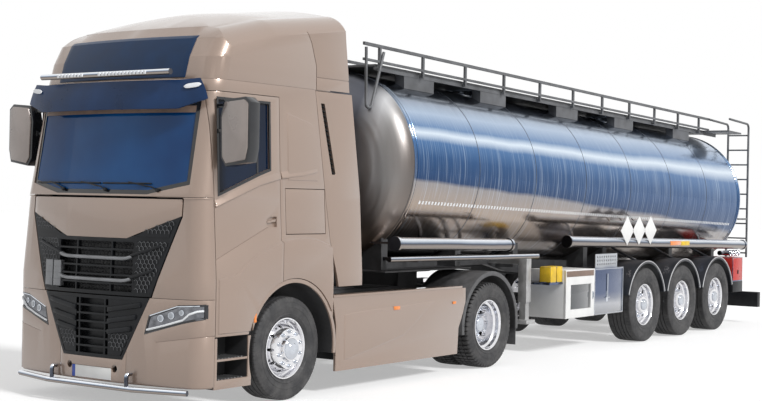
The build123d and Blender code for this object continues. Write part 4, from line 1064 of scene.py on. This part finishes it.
def core_reach(z):
    """Above the slots, the cells only fill the grille's two wings."""
    return 0.0 if z < 1.56 else 0.42 + (z - 1.56) * 2.6, min(0.69 + (z - 1.045) * 0.37, WING_X)


def wing_reach(z):
    if 1.53 <= z <= 1.61:
        return 1, 0
    low = WING_X if z < 1.57 else 0.490 + (z - 1.596) * 2.47
    return low + CELL * 0.8, 0.690 + (z - 1.075) * 0.38 - CELL


def lower_wing_reach(z):
    return LOWER_WING_X + CELL, 0.368 + (z - 0.486) * 0.55 - CELL


def add_sheets(form, starts, ends, heights, out, thick=0.006):
    """A thin sheet behind the front on each side, with its own start and end at each height."""
    for hand in HANDS:
        rows = []
        for step in range(9):
            spots = [(hand * (a + (b - a) * step / 8), z) for a, b, z in zip(starts, ends, heights)]
            rows.append([front_at(*spot, out) for spot in spots]
                        + [front_at(*spot, out - thick) for spot in reversed(spots)])
        form.rows(rows, caps=True)
    return form


def add_bar(form, stops, z, rise=0.30, level_to=0.40, out=0.002, tall=1.0):
    """A bar across the front through some x; outside level_to it rises."""
    places = [front_at(x, z + rise * max(0.0, abs(x) - level_to), out) for x in stops]
    form.rows([[place + Vector((0, shift, tall * lift)) for shift, lift in BAR_SECTION] for place in places],
              caps=True)


def wing_stops(hand, start, reach):
    return [hand * (start + (reach - start) * step / 6) for step in range(7)]


def grille_fill():
    set_piece("grille_cells", add_cells(Form(), 1.070, 1.745, core_reach, -0.046), "plastic", "front_lid")
    sheets = add_sheets(Form(), (WING_X, WING_X), (0.690, 0.868), (1.075, 1.545), 0.0015)
    add_sheets(sheets, (0.490, 0.850), (0.872, 0.918), (1.596, 1.742), 0.0015)
    set_piece("wing_sheets", sheets, "plastic", "front_lid")
    sheets = add_sheets(Form(), (LOWER_WING_X, LOWER_WING_X), (0.368, 0.652), (0.486, 1.002), 0.0015)
    set_piece("lower_wing_sheets", sheets, "plastic", "tractor")
    set_piece("lower_wing_cells", add_cells(Form(), 0.545, 0.700, lower_wing_reach, 0.004), "wire", "tractor")
    bars = Form()
    for hand in HANDS:
        for z, reach in ((0.905, 0.600), (0.800, 0.545), (0.700, 0.490)):
            add_bar(bars, wing_stops(hand, LOWER_WING_X, reach), z, 0.16, LOWER_WING_X, 0.004, 1.6)
    set_piece("lower_wing_bars", bars, "plastic", "tractor", 0.003)
    set_piece("wing_cells", add_cells(Form(), 1.095, 1.735, wing_reach, 0.004), "wire", "front_lid")
    bars = Form()
    for hand, z, reach in ((1, 1.395, 0.800), (1, 1.190, 0.725), (-1, 1.395, 0.800)):
        add_bar(bars, wing_stops(hand, 0.47, reach), z)
    set_piece("wing_bars", bars, "plastic", "front_lid", 0.003)
    core = front_plate(Form(), (-0.66, 0.66), (1.07, 1.30, 1.56), -0.115, 0.012)
    set_piece("radiator_core", core, "chassis", "tractor")
    backing = add_sheets(Form(), (0.50, 0.50, 0.62), (0.700, 0.885, 0.950), (1.060, 1.560, 1.735), -0.056)
    set_piece("wing_backing", backing, "plastic", "front_lid")
    backing = add_sheets(Form(), (0, 0), (0.440, 0.720), (0.465, 1.020), -0.070)
    set_piece("lower_backing", backing, "plastic", "tractor")
    bars = Form()
    for z in (1.385, 1.180):
        add_bar(bars, [0.06 * step for step in range(-8, 9)], z)
    set_piece("grille_bars", bars, "grey", "front_lid", 0.003)
    housing = Form()
    for x in ((-0.700, -0.585), (-0.568, -0.455)):
        front_plate(housing, x, (1.095, 1.340), 0.012, 0.05)
        for z in (1.155, 1.215, 1.275):
            front_plate(housing, (x[0] + 0.006, x[1] - 0.006), (z, z + 0.006), 0.015, 0.01)
    set_piece("sensor_housing", housing, "grey", "front_lid", 0.005)


grille_fill()


# Headlamps, as x and height: a border, a strip low down, a line above it, and lenses with their radius
LAMP_OUTLINE = ((0.645, 0.708), (0.692, 0.876), (1.000, 0.981),
                (1.236, 0.996), (1.236, 0.868), (1.050, 0.824))
LAMP_STRIP = ((0.668, 0.745), (0.86, 0.795), (1.045, 0.852), (1.105, 0.905), (1.175, 0.935), (1.215, 0.940))
LAMP_LINE = ((0.700, 0.877), (0.985, 0.972), (1.190, 0.985))
LENSES = ((0.815, 0.858, 0.034), (0.925, 0.888, 0.034), (1.030, 0.918, 0.026))


def headlamp_trim():
    border, strip, rings, lenses = Form(), Form(), Form(), Form()
    for hand in HANDS:
        front_band(border, [(hand * x, z) for x, z in LAMP_OUTLINE], 0.014, 0.0015, 0.006)
        strip.tube([front_at(hand * x, z, -0.001) for x, z in between_points(LAMP_STRIP, 0.03)], 0.010, 8)
        rings.tube([front_at(hand * x, z, -0.003) for x, z in between_points(LAMP_LINE, 0.04)], 0.006, 8)
        for x, z, radius in LENSES:
            middle = front_at(hand * x, z, -0.008)
            face = Vector((hand * 0.22 * x, -1, 0.05)).normalized()
            rings.disc(middle, face, radius, 0.012, 28, 0.003)
            lenses.disc(middle + 0.011 * face, face, radius * 0.76, 0.006, 24, 0.004)
    set_piece("headlamp_borders", border, "gloss", "tractor")
    set_piece("daylight_strips", strip, "light", "tractor")
    set_piece("headlamp_rings", rings, "chrome", "tractor")
    set_piece("headlamp_lenses", lenses, "lens", "tractor")


# Plate, navy sign, lamp bar, visor markers, the small reflectors and the steps' ribs, all blank
PLATE_FACE = (0.006, 0.015)
PLATE_Z = (0.250, 0.360)
VISOR_OUT = 0.130
LIGHT_PITCH = 0.046
# Across, station and height
SIDE_MARKERS = (
    ((1.248, 1.260), (0.868, 0.903), (0.800, 0.885)),
    ((1.242, 1.254), (3.180, 3.290), (0.795, 0.833)),
    ((1.235, 1.247), (4.360, 4.430), (0.800, 0.830)),
)


def visor_marker(form, hand):
    rows = []
    for step in range(9):
        share = step / 8
        swell = 0.022 * sqrt(max(0.06, 1 - (2 * share - 1) ** 4))
        corners = ((-swell, 0.006), (swell, 0.006), (swell, -0.004), (-swell, -0.004))
        x, z = hand * (0.955 + 0.170 * share), 2.975 + 0.02 * share
        rows.append([front_at(x, z + rise, VISOR_OUT + out) for rise, out in corners])
    form.rows(rows, caps=True)


def front_signs():
    set_boxes("blank_plate", "white", "tractor", 0.001, ((-0.218, 0.260), PLATE_FACE, PLATE_Z))
    set_boxes("plate_strip", "blue", "tractor", 0.001, ((-0.260, -0.219), PLATE_FACE, PLATE_Z))
    sign = front_plate(Form(), (-0.84, 0.84), (3.072, 3.270, 3.450, 3.480), 0.012, 0.030, ROOF_LEVELS)
    set_piece("blank_sign", sign, "navy", "tractor", 0.006)
    lights = Form()
    for start, end in ((-0.62, -0.24), (-0.06, 0.58)):
        for step in range(round((end - start) / LIGHT_PITCH)):
            x = start + (step + 0.5) * LIGHT_PITCH
            lights.box((x - 0.017, x + 0.017), (0.066, 0.078), (3.094, 3.126))
    set_piece("lamp_bar_lights", lights, "light", "tractor", 0.004)
    markers, amber, treads = Form(), Form(), Form()
    for hand in HANDS:
        visor_marker(markers, hand)
    set_piece("visor_markers", markers, "light", "tractor", 0.003)
    for marker in SIDE_MARKERS:
        amber.pair(*marker)
    set_piece("side_markers", amber, "amber", "tractor", 0.002)
    for z in (0.300, 0.490):
        for step in range(8):
            station = 0.42 + 0.045 * step
            treads.pair((1.00, 1.22), (station, station + 0.018), (z - 0.002, z + 0.005))
    set_piece("step_treads", treads, "rail", "tractor")


headlamp_trim()
front_signs()


# Tank: weld seams, ring beads, reflective squares and blank placards
SEAM_PITCH = 1.377
BAND_DROP = 0.40
SQUARE = ((0, -0.018), (0.034, -0.018), (0.034, 0.018), (0, 0.018))
SQUARES_START = 3.98
SQUARE_PITCH = 0.066
SQUARES = 140
PLACARDS = (8.870, 9.250, 9.630)
PLACARD_TIPS = ((-0.205, 0), (0, -0.205), (0.205, 0), (0, 0.205))
PLACARD_X = 1.244
PLACARD_Z = 1.600
RING_STEPS = 160


def tank_ring(form, station, half, rise):
    """A low round band about the tank at a station."""
    rows = []
    for turn in circle(RING_STEPS):
        row = []
        for along, reach in ((-half, -0.002), (-half * 0.5, rise), (half * 0.5, rise), (half, -0.002)):
            radius = TANK_R + reach
            place = station + along
            row.append(at(radius * sin(turn), place - TANK_LEAN * radius * cos(turn),
                          axis_z(place) + radius * cos(turn)))
        rows.append(row)
    form.rows(rows, close=True)


def tank_skin():
    seams = Form()
    for number in range(1, 7):
        tank_ring(seams, TANK_FRONT + number * SEAM_PITCH, 0.007, 0.0022)
    for middle in (TANK_FRONT, TANK_FRONT + 0.060, TANK_REAR - 0.060, TANK_REAR):
        for shift in (-0.015, 0.015):
            tank_ring(seams, middle + shift, 0.003, 0.0015)
    set_piece("tank_seams", seams, "seam", "trailer")
    squares, placards = Form(), Form()
    for hand in HANDS:
        for number in range(SQUARES):
            corners = []
            for along, rise in SQUARE:
                place = SQUARES_START + number * SQUARE_PITCH + along
                drop = BAND_DROP - rise
                across = sqrt((TANK_R + 0.0016) ** 2 - drop ** 2)
                corners.append(at(hand * across, place, axis_z(place) - drop))
            squares.slab(corners, (hand * -0.003, 0, 0.001))
        for middle in PLACARDS:
            outline = [at(hand * PLACARD_X, middle + along, PLACARD_Z + rise) for along, rise in PLACARD_TIPS]
            placards.slab(outline, (hand * -0.004, 0, 0))
            placards.box(mirrored((0.950, 1.242), hand), (middle - 0.012, middle + 0.012), (1.715, 1.735))
    set_piece("reflective_squares", squares, "reflect", "trailer")
    set_piece("blank_placards", placards, "white", "trailer", 0.0015)


tank_skin()


# Trailer fittings: spans across, by station and by height
CASE_X = (0.756, 1.2285)
CASE_STATION = (12.846, 13.264)
YELLOW_X = (1.036, 1.2045)
YELLOW_Z = (0.948, 1.1535)
REFLECTOR_X = (1.2285, 1.2385)
ARC_STEPS = 40


def mudguard_arc(hand, station):
    turns = [radians(16 + 148 * step / ARC_STEPS) for step in range(ARC_STEPS + 1)]
    return [at(hand * 1.236, station - 0.628 * cos(turn), WIDE_TYRE_R + 0.628 * sin(turn)) for turn in turns]


def trailer_fittings():
    edges = Form()
    for hand in HANDS:
        for station in BOGIE:
            edges.tube(mudguard_arc(hand, station), 0.0075, 8)
    set_piece("mudguard_edges", edges, "rail", "trailer")
    set_boxes("cabinet_pane", "pane", "cabinet_door", 0.001,
              ((1.2265, 1.2295), (7.227, 7.798), (0.582, 0.903)))
    set_boxes("cabinet_strip", "shelf", "cabinet_door", 0.003,
              ((1.2395, 1.2440), (7.105, 7.870), (1.010, 1.085)))
    catch = Form().box((1.2395, 1.2470), (7.835, 7.880), (0.700, 0.800))
    catch.tube([at(1.252, 7.857, 0.715), at(1.252, 7.857, 0.785)], 0.006, 10)
    set_piece("cabinet_catch", catch, "chrome", "cabinet_door", 0.002)
    latch = Form().box((1.2295, 1.2335), (8.260, 8.320), (0.640, 0.780))
    latch.tube([at(1.241, 8.290, 0.700), at(1.241, 8.290, 1.020)], 0.007, 10)
    latch.tube([at(1.244, 8.235, 0.700), at(1.244, 8.345, 0.700)], 0.009, 10)
    for station in (7.925, 8.775):
        latch.tube([at(1.232, station, 0.485), at(1.232, station, 1.085)], 0.004, 8)
    for z in (0.485, 1.085):
        latch.tube([at(1.232, 7.925, z), at(1.232, 8.775, z)], 0.004, 8)
    set_piece("box_latch", latch, "chrome", "trailer")
    set_boxes("extinguisher_case", "red", "trailer", 0.022, (CASE_X, CASE_STATION, (0.745, 1.1335)))
    set_boxes("extinguisher_base", "plastic", "trailer", 0.006, (CASE_X, CASE_STATION, (0.567, 0.741)),
              ((1.228, 1.236), (13.030, 13.080), (0.860, 0.920)))
    set_boxes("yellow_cases", "yellow", "trailer", 0.015, (YELLOW_X, (6.737, 6.893), YELLOW_Z),
              (YELLOW_X, (6.907, 7.063), YELLOW_Z))
    set_boxes("tube_reflector", "amber", "trailer", 0.003, (REFLECTOR_X, (10.350, 10.730), (1.369, 1.434)))
    set_boxes("tube_reflector_pale", "yellow", "trailer", 0.003,
              (REFLECTOR_X, (10.735, 11.050), (1.361, 1.426)))


def couplings():
    form = Form()
    out = Vector((1, 0, 0))
    for station in (12.95, 13.10, 13.25):
        middle = at(1.02, station, 1.197)
        for start, radius, height, dome in ((0, 0.042, 0.110, 0.006), (0.110, 0.052, 0.016, 0.003),
                                            (0.126, 0.038, 0.030, 0.008)):
            form.disc(middle + start * out, out, radius, height, 24, dome)
        for turn in (0.6, 2.2, 3.8, 5.4):
            ear = middle + Vector((0.106, 0.052 * cos(turn), 0.052 * sin(turn)))
            form.disc(ear, out, 0.009, 0.030, 10, 0.003)
    form.tube([at(0.99, 12.85, 1.197), at(0.99, 13.36, 1.197)], 0.040, 16)
    set_piece("side_couplings", form, "chrome", "trailer")


# Rear lamps set into pockets of their housings: finish and distances from the middle
REAR_LAMPS = (("tail", (0.835, 0.950)), ("amber", (0.965, 1.075)), ("light", (1.090, 1.195)))
LAMP_FACE = (14.086, 14.0985)


def rear_lamps():
    pockets = Form()
    for finish, x in REAR_LAMPS:
        set_piece(f"rear_lamps_{finish}", Form().pair(x, LAMP_FACE, (0.350, 0.440)), finish, "trailer", 0.004)
        pockets.pair((x[0] - 0.002, x[1] + 0.002), (LAMP_FACE[0] - 0.002, 14.110), (0.348, 0.442))
    pierce(nodes["rear_bumper"], "trailer", "lamp_pockets", pockets, 1)


trailer_fittings()
couplings()
rear_lamps()


# Seats: crowned cushions, swollen by a short simulation. Name, x, station and height
CUSHIONS = (
    ("seat_cushion", (0.420, 0.880), (0.915, 1.320), (1.545, 1.700)),
    ("seat_back", (0.430, 0.870), (1.335, 1.430), (1.720, 2.170)),
    ("seat_headrest", (0.530, 0.770), (1.340, 1.425), (2.185, 2.330)),
)
MATTRESS = ("bunk_mattress", (-1.020, 1.020), (1.500, 2.010), (1.715, 1.835))
FURTHEST_SWELL = 0.010


def cushion_form(x, station, z):
    """A box of squares whose sides pull in between the corners."""
    low = at(x[0], station[0], z[0])
    high = at(x[1], station[1], z[1])
    size = high - low
    work = bmesh.new()
    bmesh.ops.create_cube(work, size=1.0)
    bmesh.ops.subdivide_edges(work, edges=work.edges[:], cuts=7, use_grid_fill=True)
    for vert in work.verts:
        share = vert.co.copy()
        pull = 0.03 * (1 - min(1, abs(share.x) * 2) ** 4) * (1 - min(1, abs(share.y) * 2) ** 4)
        round_off = 1 - 0.045 * (abs(share.x * 2) ** 3 + abs(share.y * 2) ** 3 + abs(share.z * 2) ** 3 - 1)
        vert.co = Vector([part * whole * round_off for part, whole in zip(share, size)])
        vert.co -= pull * 0.4 * Vector((0, 0, share.z))
        vert.co += (low + high) / 2
    mesh = bpy.data.meshes.new("cushion")
    work.to_mesh(mesh)
    work.free()
    return mesh


def swell(piece):
    """Short cloth pressure run; no point moves further than a cap."""
    rest = [vert.co.copy() for vert in piece.data.vertices]
    cloth = piece.modifiers.new("cloth", "CLOTH")
    settings = cloth.settings
    settings.use_pressure = True
    settings.uniform_pressure_force = 4
    settings.effector_weights.gravity = 0
    settings.tension_stiffness = 20
    settings.compression_stiffness = 20
    for step in range(1, 21):
        bpy.context.scene.frame_set(step)
    moved = piece.evaluated_get(bpy.context.evaluated_depsgraph_get()).to_mesh()
    swollen = [vert.co.copy() for vert in moved.vertices]
    piece.modifiers.remove(cloth)
    bpy.context.scene.frame_set(1)
    for vert, start, end in zip(piece.data.vertices, rest, swollen):
        step = end - start
        if step.length > FURTHEST_SWELL:
            step = step.normalized() * FURTHEST_SWELL
        vert.co = start + step


def make_seats():
    made = []
    for side, hand in SIDES:
        made += [(f"{name}_{side}", mirrored(x, hand), station, z) for name, x, station, z in CUSHIONS]
    for name, x, station, z in (*made, MATTRESS):
        piece = new_piece(name, cushion_form(x, station, z))
        swell(piece)
        piece.data.materials.append(FINISHES["fabric"].made)
        piece.data.polygons.foreach_set("use_smooth", [True] * len(piece.data.polygons))
        piece.modifiers.new("round", "SUBSURF").levels = 1
        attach(piece, "tractor")
        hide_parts("seats")
    base = Form().pair((0.43, 0.87), (0.960, 1.320), (1.480, 1.540))
    base.pair((0.50, 0.80), (1.000, 1.300), (1.302, 1.480))
    base.box((-1.03, 1.03), (1.490, 2.020), (1.700, 1.712))
    set_piece("seat_bases", base, "dash", "tractor", 0.01)


make_seats()


# Studio: a white backdrop, dimmer as a light than it looks, and a pale floor. Lamps have a strength, the way
# towards them and their width in degrees
AMBIENT = 0.40
FLOOR_GLOW = 0.42
FLOOR_REACH = 90
LAMPS = (
    ("key", 2.8, (0.90, -0.06, 0.70), 12),
    ("fill", 0.20, (-0.5, -0.7, 0.5), 60),
)


def seen_rays(tree):
    """1 for the rays that show a surface to the camera: straight, mirrored or through glass."""
    rays = tree.nodes.new("ShaderNodeLightPath").outputs
    seen = rays["Is Camera Ray"]
    for kind in ("Is Glossy Ray", "Is Transmission Ray"):
        either = tree.nodes.new("ShaderNodeMath")
        either.operation = "MAXIMUM"
        tree.links.new(seen, either.inputs[0])
        tree.links.new(rays[kind], either.inputs[1])
        seen = either.outputs[0]
    return seen


def make_backdrop():
    world = bpy.data.worlds.new("studio")
    bpy.context.scene.world = world
    world.use_nodes = True
    tree = world.node_tree
    tree.nodes.clear()
    link = tree.links.new
    mixed = tree.nodes.new("ShaderNodeMixShader")
    link(seen_rays(tree), mixed.inputs["Fac"])
    for place, strength in ((1, AMBIENT), (2, 1.0)):
        sky = tree.nodes.new("ShaderNodeBackground")
        sky.inputs["Color"].default_value = (1, 1, 1, 1)
        sky.inputs["Strength"].default_value = strength
        link(sky.outputs[0], mixed.inputs[place])
    link(mixed.outputs[0], tree.nodes.new("ShaderNodeOutputWorld").inputs["Surface"])


def make_stage():
    make_backdrop()
    for name, strength, towards, spread in LAMPS:
        lamp = new_piece(name, bpy.data.lights.new(name, "SUN"))
        lamp.data.energy = strength
        lamp.data.angle = radians(spread)
        lamp.rotation_mode = "QUATERNION"
        lamp.rotation_quaternion = (-Vector(towards)).to_track_quat("-Z", "Y")
    floor = bpy.data.meshes.new("floor")
    corners = [(x * FLOOR_REACH, y * FLOOR_REACH, 0) for x, y in ((-1, -1), (1, -1), (1, 1), (-1, 1))]
    floor.from_pydata(corners, [], [(0, 1, 2, 3)])
    pale = Shader("floor_pale", (0.62, 0.62, 0.62), 0.9)
    pale.set("Emission Color", (1, 1, 1, 1))
    glow = pale.math("MULTIPLY", seen_rays(pale.tree), FLOOR_GLOW)
    pale.put(pale.surface.inputs["Emission Strength"], glow)
    floor.materials.append(pale.made)
    new_piece("floor", floor)


make_stage()
bpy.context.scene.view_settings.view_transform = "Standard"
